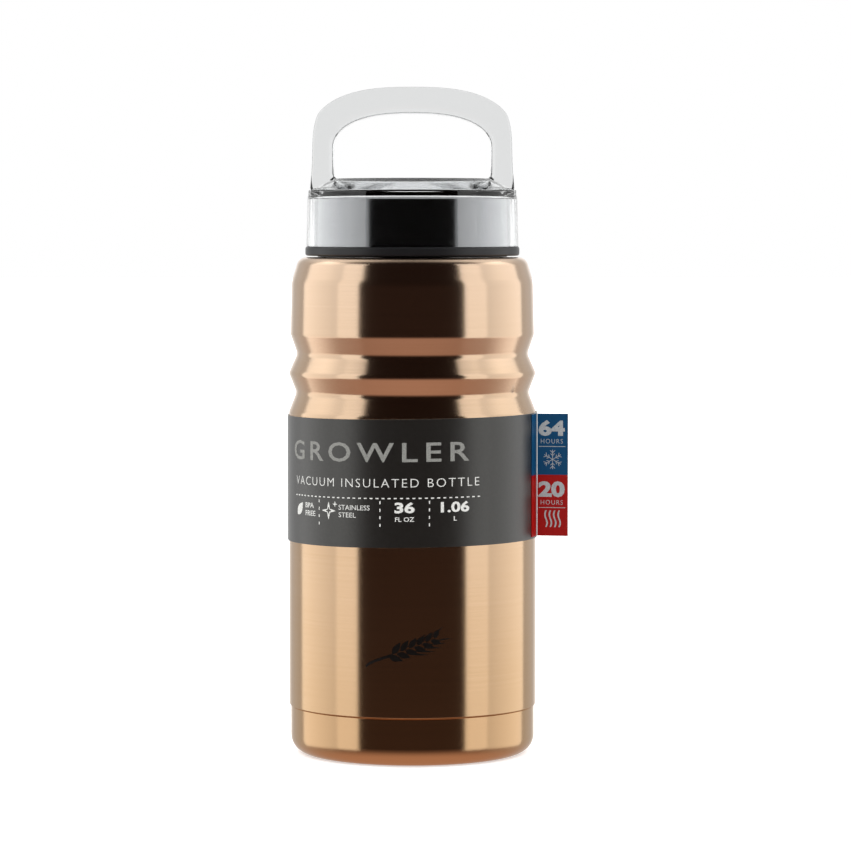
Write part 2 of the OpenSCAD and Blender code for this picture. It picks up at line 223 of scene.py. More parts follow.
def polished_trim(name):
    """Mirror-polished steel cup with a cool tone: sharp reflections, faint spinning rings."""
    made, tree = new_material(name)
    place = put(tree, "ShaderNodeTexCoord").outputs["Object"]
    along = put(tree, "ShaderNodeMapping", {"Vector": place, "Scale": (15, 15, 1600)})
    rings = put(tree, "ShaderNodeTexNoise", {"Vector": along.outputs[0], "Scale": 1.0, "Detail": 2.0})
    rough = put(tree, "ShaderNodeMapRange", {"Value": rings.outputs[0], "To Min": 0.09, "To Max": 0.15})
    tint = put(tree, "ShaderNodeMix", {
        0: rings.outputs[0], 6: srgb("#DADBDD"), 7: srgb("#CECFD2")}, data_type="RGBA")
    shader = put(tree, "ShaderNodeBsdfPrincipled", {
        "Base Color": tint.outputs[2], "Metallic": 1.0, "Roughness": rough.outputs[0]})
    put(tree, "ShaderNodeOutputMaterial", {"Surface": shader.outputs[0]})
    return made


def clear_copolyester(name):
    """Clear moulded copolyester: water-clear with a cool cast, glossy, with faint flow waves."""
    made, tree = new_material(name)
    place = put(tree, "ShaderNodeTexCoord").outputs["Object"]
    waves = put(tree, "ShaderNodeTexNoise", {"Vector": place, "Scale": 90.0, "Detail": 1.0})
    bump = put(tree, "ShaderNodeBump", {
        "Height": waves.outputs[0], "Strength": 0.08, "Distance": 0.0002})
    haze = put(tree, "ShaderNodeMapRange", {"Value": waves.outputs[0], "To Min": 0.0, "To Max": 0.035})
    shader = put(tree, "ShaderNodeBsdfPrincipled", {
        "Base Color": srgb("#E8E9E9"), "Roughness": haze.outputs[0], "IOR": 1.54,
        "Transmission Weight": 1.0, "Normal": bump.outputs[0]})
    put(tree, "ShaderNodeOutputMaterial", {"Surface": shader.outputs[0]})
    return made


def moulded_plastic(name, light, dark, rough_low, rough_high, grain_mm, relief_mm, soft=0.0):
    """Injection-moulded plastic or rubber: an even body colour with a spark-eroded grain that
    breaks up its sheen. soft lets light a little way in, as in silicone and foam."""
    made, tree = new_material(name)
    place = put(tree, "ShaderNodeTexCoord").outputs["Object"]
    grain = put(tree, "ShaderNodeTexNoise", {
        "Vector": place, "Scale": 1 / (grain_mm * MM), "Detail": 2.0, "Roughness": 0.55})
    wear = put(tree, "ShaderNodeTexNoise", {"Vector": place, "Scale": 45.0, "Detail": 2.0})
    tint = put(tree, "ShaderNodeMix", {
        0: wear.outputs[0], 6: srgb(light), 7: srgb(dark)}, data_type="RGBA")
    rough = put(tree, "ShaderNodeMapRange", {
        "Value": grain.outputs[0], "To Min": rough_low, "To Max": rough_high})
    bump = put(tree, "ShaderNodeBump", {
        "Height": grain.outputs[0], "Strength": 0.5, "Distance": relief_mm * MM})
    shader = put(tree, "ShaderNodeBsdfPrincipled", {
        "Base Color": tint.outputs[2], "Roughness": rough.outputs[0], "IOR": 1.5,
        "Subsurface Weight": soft, "Subsurface Scale": 0.002, "Normal": bump.outputs[0]})
    put(tree, "ShaderNodeOutputMaterial", {"Surface": shader.outputs[0]})
    return made


def crinkled_foil(name):
    """Household-weight metal foil, crumpled as it is wound: sharp small facets that glitter, with painted
    shade that darkens it along the creases.
    """
    made, tree = new_material(name)
    place = put(tree, "ShaderNodeTexCoord").outputs["Object"]
    creases = put(tree, "ShaderNodeTexVoronoi", {"Vector": place, "Scale": 160.0},
                  feature="DISTANCE_TO_EDGE")
    bump = put(tree, "ShaderNodeBump", {
        "Height": creases.outputs[0], "Strength": 0.6, "Distance": 0.0004})
    # Painted shade: the colour is darker along the creases
    tint = put(tree, "ShaderNodeMix", {
        0: creases.outputs[0], 6: srgb("#E6E1D4"), 7: srgb("#F2EEE4")}, data_type="RGBA")
    shader = put(tree, "ShaderNodeBsdfPrincipled", {
        "Base Color": tint.outputs[2], "Metallic": 1.0, "Roughness": 0.22, "Normal": bump.outputs[0]})
    put(tree, "ShaderNodeOutputMaterial", {"Surface": shader.outputs[0]})
    return made


def sealing_glass(name):
    """Fused solder glass: a dull green bead with a wet gloss and small bubbles."""
    made, tree = new_material(name)
    place = put(tree, "ShaderNodeTexCoord").outputs["Object"]
    bubbles = put(tree, "ShaderNodeTexVoronoi", {"Vector": place, "Scale": 1800.0})
    tint = put(tree, "ShaderNodeMix", {
        0: bubbles.outputs[0], 6: srgb("#5B6A57"), 7: srgb("#748270")}, data_type="RGBA")
    bump = put(tree, "ShaderNodeBump", {
        "Height": bubbles.outputs[0], "Strength": 0.2, "Distance": 0.0001})
    shader = put(tree, "ShaderNodeBsdfPrincipled", {
        "Base Color": tint.outputs[2], "Roughness": 0.12, "IOR": 1.6, "Normal": bump.outputs[0]})
    put(tree, "ShaderNodeOutputMaterial", {"Surface": shader.outputs[0]})
    return made


def printed_card(name):
    """Card flooded with dark metallic ink under satin varnish, pale where the cut shows its core.
    The varnish lies over faint fibres, so its sheen is soft; v below zero marks a cut edge."""
    made, tree = new_material(name)
    place = put(tree, "ShaderNodeTexCoord")
    fibres = put(tree, "ShaderNodeTexNoise", {
        "Vector": place.outputs["Object"], "Scale": 900.0, "Detail": 3.0, "Roughness": 0.7})
    flood = put(tree, "ShaderNodeMix", {
        0: fibres.outputs[0], 6: srgb("#474744"), 7: srgb("#3E3E3C")}, data_type="RGBA")
    side = put(tree, "ShaderNodeUVMap", uv_map="around")
    height = put(tree, "ShaderNodeSeparateXYZ", {"Vector": side.outputs[0]})
    cut = put(tree, "ShaderNodeMath", {0: height.outputs[1], 1: -0.5}, operation="LESS_THAN")
    tint = put(tree, "ShaderNodeMix", {
        0: cut.outputs[0], 6: flood.outputs[2], 7: srgb("#CFC8BC")}, data_type="RGBA")
    metal = put(tree, "ShaderNodeMath", {0: 0.85, 1: cut.outputs[0]}, operation="SUBTRACT",
                use_clamp=True)
    rough = put(tree, "ShaderNodeMapRange", {"Value": fibres.outputs[0], "To Min": 0.33, "To Max": 0.43})
    bump = put(tree, "ShaderNodeBump", {
        "Height": fibres.outputs[0], "Strength": 0.12, "Distance": 0.00005})
    shader = put(tree, "ShaderNodeBsdfPrincipled", {
        "Base Color": tint.outputs[2], "Metallic": metal.outputs[0], "Roughness": rough.outputs[0],
        "Coat Weight": 1.0, "Coat Roughness": 0.35, "Coat IOR": 1.5, "Normal": bump.outputs[0]})
    put(tree, "ShaderNodeOutputMaterial", {"Surface": shader.outputs[0]})
    return made


def two_colour_card(name):
    """The tag's coated card, printed blue above and red below. The coating has cracked pale along
    the fold, a line that is also a painted highlight on the crease; the cut edges show the core. UV is in
    millimetres from the fold and up."""
    made, tree = new_material(name)
    place = put(tree, "ShaderNodeTexCoord").outputs["Object"]
    fibres = put(tree, "ShaderNodeTexNoise", {
        "Vector": place, "Scale": 1100.0, "Detail": 3.0, "Roughness": 0.7})
    side = put(tree, "ShaderNodeUVMap", uv_map="around")
    flat = put(tree, "ShaderNodeSeparateXYZ", {"Vector": side.outputs[0]})
    upper = put(tree, "ShaderNodeMapRange", {
        "Value": flat.outputs[1], "From Min": (TAG_HIGH - TAG_LOW) / 2 - 0.05,
        "From Max": (TAG_HIGH - TAG_LOW) / 2 + 0.05})
    field = put(tree, "ShaderNodeMix", {
        0: upper.outputs[0], 6: srgb("#8E0402"), 7: srgb("#043D62")}, data_type="RGBA")
    spots = put(tree, "ShaderNodeTexNoise", {"Vector": place, "Scale": 700.0, "Detail": 2.0})
    # Pale cracks along the fold, which also serve as a painted highlight on the crease
    near = put(tree, "ShaderNodeMapRange", {
        "Value": flat.outputs[0], "From Min": 0.16, "From Max": 0.06, "To Max": 0.7})
    cracks_and_crease_highlight = put(tree, "ShaderNodeMath", {0: near.outputs[0], 1: spots.outputs[0]},
                  operation="MULTIPLY")
    cracked_and_highlit = put(tree, "ShaderNodeMix", {
        0: cracks_and_crease_highlight.outputs[0], 6: field.outputs[2], 7: srgb("#A9B4C0")}, data_type="RGBA")
    cut = put(tree, "ShaderNodeMath", {0: flat.outputs[1], 1: -0.5}, operation="LESS_THAN")
    tint = put(tree, "ShaderNodeMix", {
        0: cut.outputs[0], 6: cracked_and_highlit.outputs[2], 7: srgb("#C9C4BA")}, data_type="RGBA")
    rough = put(tree, "ShaderNodeMapRange", {"Value": fibres.outputs[0], "To Min": 0.38, "To Max": 0.5})
    bump = put(tree, "ShaderNodeBump", {
        "Height": fibres.outputs[0], "Strength": 0.15, "Distance": 0.00005})
    shader = put(tree, "ShaderNodeBsdfPrincipled", {
        "Base Color": tint.outputs[2], "Roughness": rough.outputs[0], "Specular IOR Level": 0.15,
        "Normal": bump.outputs[0]})
    put(tree, "ShaderNodeOutputMaterial", {"Surface": shader.outputs[0]})
    return made


def printing_ink(name, light, dark, gloss):
    """Screen-printed ink: a flat colour whose coverage is slightly speckled by the surface under it."""
    made, tree = new_material(name)
    place = put(tree, "ShaderNodeTexCoord").outputs["Object"]
    speckle = put(tree, "ShaderNodeTexNoise", {
        "Vector": place, "Scale": 2500.0, "Detail": 2.0, "Roughness": 0.7})
    spread = put(tree, "ShaderNodeMapRange", {
        "Value": speckle.outputs[0], "From Min": 0.4, "From Max": 0.7})
    tint = put(tree, "ShaderNodeMix", {
        0: spread.outputs[0], 6: srgb(light), 7: srgb(dark)}, data_type="RGBA")
    shader = put(tree, "ShaderNodeBsdfPrincipled", {
        "Base Color": tint.outputs[2], "Roughness": gloss, "IOR": 1.45})
    put(tree, "ShaderNodeOutputMaterial", {"Surface": shader.outputs[0]})
    return made


COPPER_SHELL = lacquered_steel("copper_lacquer_on_brushed_steel", "#DDB990", "#F0D3B8")
COPPER_BASE = lacquered_steel("copper_lacquer_on_base_cup", "#DBB58A", "#F0D3B8")
STEEL = bare_steel("brushed_stainless_steel")
TRIM = polished_trim("mirror_polished_steel")
CLEAR = clear_copolyester("clear_copolyester")
BLACK = moulded_plastic("black_polypropylene", "#1A1A1C", "#131315", 0.28, 0.42, 0.25, 0.02)
RUBBER = moulded_plastic("black_silicone_rubber", "#262626", "#1C1C1C", 0.6, 0.8, 0.3, 0.05)
SILICONE = moulded_plastic("white_silicone_rubber", "#E4E5E0", "#D8D9D3", 0.4, 0.55, 0.3, 0.01, 0.3)
FOAM = moulded_plastic("expanded_polystyrene", "#F4F3EE", "#E6E4DC", 0.7, 0.9, 1.5, 0.25, 0.1)
GETTER = moulded_plastic("sintered_getter_metal", "#77736E", "#5C5955", 0.6, 0.85, 0.2, 0.05)
FOIL = crinkled_foil("crinkled_aluminium_foil")
GLASS_BEAD = sealing_glass("fused_solder_glass")
CARD_STOCK = printed_card("metallic_ink_on_card")
TAG_CARD = two_colour_card("blue_and_red_coated_card")
PALE_INK = printing_ink("pale_grey_ink", "#D2D2CE", "#B4B4B0", 0.5)
TITLE_INK = printing_ink("mid_grey_ink", "#84847F", "#6C6C69", 0.45)
WHITE_INK = printing_ink("white_ink", "#A4A6A8", "#888A8C", 0.5)
EMBLEM_INK = printing_ink("black_ink", "#070605", "#030202", 0.6)


# ---------------------------------------------------------------- outlines

def fillet(before, corner, after, radius):
    """The arc that rounds a corner between two neighbours."""
    u = (before - corner).normalized()
    v = (after - corner).normalized()
    half = math.acos(max(-1.0, min(1.0, u.dot(v)))) / 2
    centre = corner + (u + v).normalized() * radius / math.sin(half)
    first = corner + u * radius / math.tan(half) - centre
    last = corner + v * radius / math.tan(half) - centre
    start = math.atan2(first.y, first.x)
    turn = (math.atan2(last.y, last.x) - start + 3 * math.pi) % (2 * math.pi) - math.pi
    steps = max(2, math.ceil(abs(math.degrees(turn)) / ARC_STEP))
    angles = [start + turn * k / steps for k in range(steps + 1)]
    return [centre + radius * Vector((math.cos(a), math.sin(a))) for a in angles]


def rounded(corners):
    """A path from corners of the form (radius, height, rounding)."""
    points = [Vector(c[:2]) for c in corners]
    path = []
    for i, (point, corner) in enumerate(zip(points, corners)):
        if corner[2] and 0 < i < len(points) - 1:
            path += fillet(points[i - 1], point, points[i + 1], corner[2])
        else:
            path.append(point)
    return path


def shifted(path, distance):
    """The same path moved sideways, towards the inside of the vessel."""
    moved = []
    for i, point in enumerate(path):
        before = path[max(0, i - 1)]
        after = path[min(i + 1, len(path) - 1)]
        a = (path[max(1, i)] - before).normalized()
        b = (after - path[min(i, len(path) - 2)]).normalized()
        n0, n1 = Vector((a.y, -a.x)), Vector((b.y, -b.x))
        m = (n0 + n1).normalized()
        moved.append(point + m * distance / m.dot(n0))
    return moved


def sheet_outline(corners, wall):
    """Closed outline of sheet metal or a moulding of even thickness."""
    path = rounded(corners)
    return path + shifted(path, wall)[::-1]


def body_line(z):
    """Radius of the body line between the straight side and the shoulder."""
    return SHELL_R - TAPER * (z - STRAIGHT_TOP) / (SHOULDER_Z - STRAIGHT_TOP)


# ---------------------------------------------------------------- meshes

def to_data(bm, name):
    """A mesh with outward normals, smooth faces and sharp edges where its surface turns."""
    bmesh.ops.recalc_face_normals(bm, faces=bm.faces)
    data = bpy.data.meshes.new(name)
    bm.to_mesh(data)
    bm.free()
    data.shade_smooth()
    data.set_sharp_from_angle(angle=SHARP)
    return data


def braced(outline):
    """The outline with a point close to each end of its long straight stretches, so that smooth
    shading bends only at the corners."""
    path = []
    for i, point in enumerate(outline):
        after = outline[(i + 1) % len(outline)]
        long = (after - point).length
        path.append(point)
        if long > 2:
            path += [point.lerp(after, 0.15 / long), after.lerp(point, 0.15 / long)]
    return path


def turned(name, outline, radius_at=None):
    """A closed solid of revolution. Points on the axis become poles. radius_at(turn, r, z) may
    raise a thread."""
    outline = braced(outline)
    bm = bmesh.new()
    uv = bm.loops.layers.uv.new("around")
    turns = [2 * math.pi * k / SEGMENTS for k in range(SEGMENTS)]
    rings, lengths = [], [0.0]
    for i, point in enumerate(outline):
        r, z = point
        if i:
            lengths.append(lengths[-1] + (point - outline[i - 1]).length)
        if r < 1e-4:
            rings.append([bm.verts.new((0, 0, z * MM))])
            continue
        ring = []
        for turn in turns:
            here = radius_at(turn, r, z) if radius_at else r
            ring.append(bm.verts.new((here * math.sin(turn) * MM, -here * math.cos(turn) * MM, z * MM)))
        rings.append(ring)
    lengths.append(lengths[-1] + (outline[0] - outline[-1]).length)
    for i, ring in enumerate(rings):
        other = rings[(i + 1) % len(rings)]
        if len(ring) == 1 and len(other) == 1:
            continue
        for k in range(SEGMENTS):
            n = (k + 1) % SEGMENTS
            corners = [(ring[k % len(ring)], k, i), (ring[n % len(ring)], k + 1, i),
                       (other[n % len(other)], k + 1, i + 1), (other[k % len(other)], k, i + 1)]
            if len(ring) == 1:
                corners.pop(1)
            if len(other) == 1:
                corners.pop(2)
            face = bm.faces.new([c[0] for c in corners])
            for loop, (_, step, row) in zip(face.loops, corners):
                loop[uv].uv = (step / SEGMENTS, lengths[row] * MM)
    return to_data(bm, name)


def smooth_step(t):
    """Eases from 0 to 1 and stays there."""
    t = max(0.0, min(1.0, t))
    return t * t * (3 - 2 * t)


def thread_height(turn, z, start_z, start_turn, turns):
    """Height of a rolled ridge at an angle and a height, tapering off at both ends."""
    run_out = math.radians(30)
    best = 0.0
    for lap in range(3):
        along = turn + 2 * math.pi * lap - start_turn
        left = turns * 2 * math.pi - along
        if along <= 0 or left <= 0:
            continue
        grow = smooth_step(min(along, left) / run_out)
        away = abs(z - start_z - LEAD * along / (2 * math.pi))
        best = max(best, grow * smooth_step((RIDGE_HALF - away) / (RIDGE_HALF - CREST_HALF)))
    return best * RIDGE_DEPTH


def filled(path, low, high, step):
    """The path with extra points between two heights, close enough to carry a thread."""
    dense = [path[0]]
    for a, b in zip(path, path[1:]):
        upright = abs(a.x - b.x) < 0.01 and min(a.y, b.y) < high and max(a.y, b.y) > low
        count = max(1, math.ceil((b - a).length / step)) if upright else 1
        dense += [a.lerp(b, k / count) for k in range(1, count + 1)]
    return dense


def plain_mesh(holder):
    """The evaluated object as a mesh of its own; the holder is removed."""
    bpy.context.view_layer.update()
    depsgraph = bpy.context.evaluated_depsgraph_get()
    data = bpy.data.meshes.new_from_object(holder.evaluated_get(depsgraph))
    bpy.data.objects.remove(holder)
    return data


def hold(data, name="holder"):
    """Links data to the scene on a temporary object."""
    holder = bpy.data.objects.new(name, data)
    bpy.context.scene.collection.objects.link(holder)
    return holder


def piece(name, data, material, body, slot, *nodes):
    """A finished piece on its CAD body, standing for the nodes that it replaces."""
    data.materials.clear()
    data.materials.append(material)
    made = hold(data, name)
    data.name = name
    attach(made, body)
    if nodes:
        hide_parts(*nodes)
    return made


# ---------------------------------------------------------------- bottle

def build_shell():
    """Outer shell: flat top, sloping shoulder, rolled grooves and a straight side."""
    shoulder_r = SHELL_R - TAPER
    corners = [(NECK_ROOT_R + WELD, BODY_H, 0), (shoulder_r - SHOULDER_INSET, BODY_H, 4),
               (shoulder_r, SHOULDER_Z, 10)]
    for i in range(GROOVES):
        ridge_z = BODY_H - GROOVE_DROP - i * GROOVE_PITCH
        valley_z = ridge_z - GROOVE_PITCH / 2
        corners.append((min(SHELL_R, body_line(ridge_z) + i * RIDGE_STEP), ridge_z, GROOVE_ROUND))
        corners.append((body_line(valley_z) - GROOVE_DEPTH, valley_z, GROOVE_ROUND))
    hem = 0.25          # rounded lower edge at the seam
    corners += [(SHELL_R, STRAIGHT_TOP, GROOVE_ROUND), (SHELL_R, SHELL_Z + hem, 0)]
    path = rounded(corners)
    bottom = [Vector((SHELL_R - 0.08, SHELL_Z + 0.08)), Vector((SHELL_R - hem, SHELL_Z))]
    inner = shifted(path, SHELL_WALL)
    inner[-1].y = SHELL_Z
    data = turned("shell", path + bottom + inner[::-1])
    piece("brushed_shell", data, COPPER_SHELL, "flask", "copper_shell", "outer_shell")


def build_base_cup():
    """Lower shell: its rim reaches up inside the outer shell, and a fine seam shows between them."""
    rim_r = SHELL_R - SHELL_WALL - BOND
    foot_r = PAD_R + 0.2
    corners = [(rim_r, BASE_RIM_Z, 0), (rim_r, SHELL_Z + 0.3, 0), (BASE_R - 0.3, SHELL_Z - 0.1, 0.2),
               (BASE_R, SHELL_Z - 0.5, 0.3), (BASE_R, BASE_Z, 7), (foot_r + 1.2, BASE_Z, 0.8),
               (foot_r, PAD_TOP, 0), (0, PAD_TOP, 0)]
    data = turned("base", sheet_outline(corners, SHELL_WALL))
    piece("brushed_base_cup", data, COPPER_BASE, "flask", "copper_base", "base_cup")


def build_pad():
    """The pad has three shallow moulded rings that grip the table."""
    ring_depth, ring_w = 0.5, 1.2
    corners = [(0, PAD_Z, 0)]
    for r in (12, 20, 28):
        corners += [(r - ring_w, PAD_Z, 0), (r - ring_w / 2, PAD_Z + ring_depth, 0.3),
                    (r + ring_w / 2, PAD_Z + ring_depth, 0.3), (r + ring_w, PAD_Z, 0)]
    corners += [(PAD_R, PAD_Z, 0.6), (PAD_R, PAD_TOP, 0), (0, PAD_TOP, 0)]
    piece("grip_pad", turned("pad", rounded(corners)), RUBBER, "flask", "base_rubber", "base_pad")


def build_neck():
    """Steel ring with one and a half turns of rolled thread, welded under the shell's flat top."""
    start_z = BODY_H + 3.7
    foot_z = BODY_H - SHELL_WALL
    corners = [(NECK_BORE_R, LIP_Z, 0), (NECK_ROOT_R, LIP_Z, 0.4), (NECK_ROOT_R, foot_z, 0),
               (NECK_FOOT_R, foot_z, 0)]
    outline = sheet_outline(corners, NECK_WALL)
    outer_count = len(rounded(corners))
    outer = filled(outline[:outer_count], start_z - 2, LIP_Z, THREAD_STEP)

    def with_thread(turn, r, z):
        on_root = abs(r - NECK_ROOT_R) < 0.02
        return r + thread_height(turn, z, start_z, FIRST_TURN, 1.5) if on_root else r

    data = turned("neck", outer + outline[outer_count:], with_thread)
    piece("threaded_steel_neck", data, STEEL, "flask", "bare_steel", "threaded_neck")


def build_flask():
    """The flask that holds the drink: a drawn tube with a narrow neck, and its welded floor."""
    neck_r = NECK_BORE_R - WELD
    shoulder_z = SHOULDER_Z - 3
    corners = [(neck_r, FLASK_TOP, 0), (neck_r, shoulder_z + 8, 5), (FLASK_R, shoulder_z, 8),
               (FLASK_R, FLASK_Z, 0)]
    path = rounded(corners)
    lip_edge = [Vector((neck_r - FLASK_WALL / 2, FLASK_TOP + 0.08))]
    data = turned("flask", path + shifted(path, FLASK_WALL)[::-1] + lip_edge)
    piece("steel_inner_flask", data, STEEL, "flask", "bare_steel", "inner_flask")
    floor = [(FLOOR_R, FLOOR_TOP, 0), (FLOOR_R, FLOOR_Z, 5), (0, FLOOR_Z, 0)]
    data = turned("floor", sheet_outline(floor, FLASK_WALL))
    piece("steel_flask_floor", data, STEEL, "flask", "bare_steel", "inner_bottom")


def build_gasket():
    """The lip gasket has two raised beads on the side that seals."""
    bore = 30.5
    mid = (bore + GASKET_R) / 2
    corners = [(bore, GASKET_TOP, 0), (bore, GASKET_Z, 0.5), (mid - 0.9, GASKET_Z, 0),
               (mid - 0.45, GASKET_Z + 0.4, 0.2), (mid + 0.45, GASKET_Z + 0.4, 0.2),
               (mid + 0.9, GASKET_Z, 0), (GASKET_R, GASKET_Z, 0.5), (GASKET_R, GASKET_TOP, 0.5),
               (bore, GASKET_TOP, 0)]
    data = turned("gasket", rounded(corners)[:-1])
    piece("silicone_lip_gasket", data, SILICONE, "seal", "silicone", "lip_gasket")


# ---------------------------------------------------------------- lid

def trim_corners():
    """The trim cup's outside, which the clear cap is lined to."""
    return [(0, TRIM_TOP, 0), (CAP_FLAT_R - 0.6, TRIM_TOP, 1), (TRIM_R, TRIM_TOP - 4, 1.5),
            (TRIM_R, TRIM_Z, 0)]


def build_trim():
    """Polished cup seen through the clear cap."""
    data = turned("trim", sheet_outline(trim_corners(), TRIM_WALL))
    piece("polished_trim_cup", data, TRIM, "lid", "polished_trim", "lid_trim")


def build_liner():
    """Threaded moulding: its flange shows under the clear cap, its thread when the lid is off."""
    bore, skirt_r = 36.0, 38.2
    ceiling_z = LINER_TOP - 2
    flange_z = LINER_Z + 0.4
    start_z = BODY_H + 1.6
    thread_top = BODY_H + 13.2
    ridge = 1.1             # its ridge is lower than the neck's, which leaves a clearance
    chamfer = 0.3
    foot_r = skirt_r - 0.7
    outside = [(foot_r, LINER_Z, 0), (foot_r, flange_z, 0), (FLANGE_R, flange_z, 0.9),
               (FLANGE_R, CAP_Z, 0.9), (skirt_r, CAP_Z, 0), (skirt_r, LINER_TOP, 1),
               (0, LINER_TOP, 0)]
    inside = [Vector((0, ceiling_z)), Vector((bore, ceiling_z)), Vector((bore, LINER_Z + chamfer)),
              Vector((bore + chamfer, LINER_Z))]

    def with_thread(turn, r, z):
        if abs(r - bore) >= 0.02:
            return r
        raised = thread_height(turn, z, start_z, FIRST_TURN + math.radians(30), 1.25)
        return r - raised * ridge / RIDGE_DEPTH

    data = turned("liner", rounded(outside) + filled(inside, LINER_Z, thread_top, THREAD_STEP),
                  with_thread)
    piece("black_lid_liner", data, BLACK, "lid", "black_moulding", "lid_liner")


def build_plug():
    """The hollow plug that hangs in the mouth, drafted a little towards its round bottom edge."""
    corners = [(PLUG_R, PLUG_TOP, 0), (PLUG_R - 0.6, PLUG_Z, 3), (0, PLUG_Z, 0)]
    data = turned("plug", sheet_outline(corners, PLUG_WALL))
    piece("black_plug_cup", data, BLACK, "lid", "black_moulding", "plug_cup")


def polar(a, b, power, angle):
    """Point on a superellipse at a polar angle."""
    c, s = math.cos(angle), math.sin(angle)
    r = (abs(c / a) ** power + abs(s / b) ** power) ** (-1 / power)
    return Vector((r * c, r * s))


def handle_stations():
    """Pairs of inner and outer points along the loop, from the right foot to the left. The arch
    is half a superellipse inside and out, and the legs widen to rounded heels on the cap."""
    outer_a, outer_b = 40.5, 23.7
    inner_a, inner_b = 30.95, 13.9
    arch_z, hole_z = HANDLE_TOP - outer_b, HANDLE_TOP - 24.1
    foot_z, inner_foot_z = CONE_Z - 0.8, CAP_TOP - 1.6
    splay, heel = 1.0, 1.4
    leg_steps, arch_steps = 16, 72
    leg, arch = [], []
    for k in range(leg_steps):
        rise = (k / leg_steps) ** 0.8
        out_z = foot_z + (arch_z - foot_z) * rise
        in_z = inner_foot_z + (hole_z - inner_foot_z) * rise
        over = max(0.0, 1 - max(0.0, in_z - CAP_TOP) / heel)
        root = heel * (1 - math.sqrt(max(0.0, 1 - over ** 2)))
        outer_x = outer_a + splay * (1 - rise) ** 1.6
        leg.append((Vector((inner_a - root, in_z)), Vector((outer_x, out_z))))
    for k in range(arch_steps + 1):
        angle = math.pi * k / arch_steps
        arch.append((polar(inner_a, inner_b, 2.4, angle) + Vector((0, hole_z)),
                     polar(outer_a, outer_b, 2.65, angle) + Vector((0, arch_z))))
    mirrored = [(Vector((-i.x, i.y)), Vector((-o.x, o.y))) for i, o in reversed(leg)]
    return leg + arch + mirrored


def handle_section(inner, outer):
    """Rounded rectangle between the two points, as deep as the handle. Near the cap its outer
    face bows to the cap's round side."""
    outer_edge, inner_edge, inner_deep, corner_steps = 1.0, 4.0, 2.6, 6
    thick = (outer - inner).length
    across = (outer - inner) / thick
    half = HANDLE_DEPTH / 2
    side_r = CAP_R - 0.4
    on_side = smooth_step((abs(outer.x) - (side_r - 5)) / 4)
    ring = []
    for side_u, side_y, start in ((1, 1, 0), (0, 1, 90), (0, -1, 180), (1, -1, 270)):
        wide, deep = (outer_edge, outer_edge) if side_u else (inner_edge, inner_deep)
        centre_u = thick - wide if side_u else wide
        centre_y = side_y * (half - deep)
        for k in range(corner_steps + 1):
            a = math.radians(start + 90 * k / corner_steps)
            u, y = centre_u + wide * math.cos(a), centre_y + deep * math.sin(a)
            flat = inner + across * u
            bow = (side_r - math.sqrt(side_r ** 2 - y ** 2)) * on_side * smooth_step(u / thick)
            ring.append(Vector((flat.x - math.copysign(bow, flat.x), y, flat.y)) * MM)
    return ring


def build_clear_lid():
    """Cap and handle loop, moulded as one: the loop is joined to the cap into one closed skin."""
    cap = rounded([(0, CAP_TOP, 0), (CAP_FLAT_R, CAP_TOP, 0.8), (CAP_R - CAP_DRAFT, CONE_Z, 1),
                   (CAP_R, CAP_Z, 0)])
    lining = shifted(rounded(trim_corners()), -BOND)
    cap_holder = hold(turned("cap", cap + lining[::-1]))
    bm = bmesh.new()
    rings = [[bm.verts.new(p) for p in handle_section(*pair)] for pair in handle_stations()]
    count = len(rings[0])
    for a, b in zip(rings, rings[1:]):
        for k in range(count):
            n = (k + 1) % count
            bm.faces.new((a[k], a[n], b[n], b[k]))
    bm.faces.new(rings[0])
    bm.faces.new(rings[-1])
    bmesh.ops.remove_doubles(bm, verts=bm.verts, dist=0.00001)
    loop_holder = hold(to_data(bm, "loop"))
    joined = cap_holder.modifiers.new("join", "BOOLEAN")
    joined.operation = "UNION"
    joined.solver = "EXACT"
    joined.object = loop_holder
    data = plain_mesh(cap_holder)
    bpy.data.objects.remove(loop_holder)
    data.shade_smooth()
    data.set_sharp_from_angle(angle=SHARP)
    piece("clear_lid_with_loop", data, CLEAR, "lid", "clear_copolyester", "lid_shell")


# ---------------------------------------------------------------- card sleeve and tag

def sleeve_edge(azimuth, side):
    """Height of the sleeve's upper (1) or lower (-1) edge, which lies a little askew."""
    half = (SLEEVE_HIGH - SLEEVE_LOW) / 2 - SLEEVE_R * math.tan(SLEEVE_TILT)
    return SLEEVE_MID + side * half + SLEEVE_R * math.sin(azimuth) * math.tan(SLEEVE_TILT)


def build_sleeve():
    """A closed tube of card; UV runs round it, and v below zero marks its cut edges."""
    bm = bmesh.new()
    uv = bm.loops.layers.uv.new("around")
    bore = SLEEVE_R - CARD
    columns = []
    for k in range(SEGMENTS):
        a = 2 * math.pi * k / SEGMENTS
        low, high = sleeve_edge(a, -1), sleeve_edge(a, 1)
        corners = ((SLEEVE_R, low), (SLEEVE_R, high), (bore, high), (bore, low))
        columns.append([bm.verts.new((r * math.sin(a) * MM, -r * math.cos(a) * MM, z * MM))
                        for r, z in corners])
    for k in range(SEGMENTS):
        here, there = columns[k], columns[(k + 1) % SEGMENTS]
        for side in range(4):
            after = (side + 1) % 4
            face = bm.faces.new((here[side], there[side], there[after], here[after]))
            flat = [(k, 0), (k + 1, 0), (k + 1, 1), (k, 1)]
            for loop, (step, up) in zip(face.loops, flat):
                loop[uv].uv = (step / SEGMENTS, -1.0 if side % 2 else up)
    piece("card_sleeve", to_data(bm, "sleeve"), CARD_STOCK, "sleeve", "coated_card", "label_sleeve")


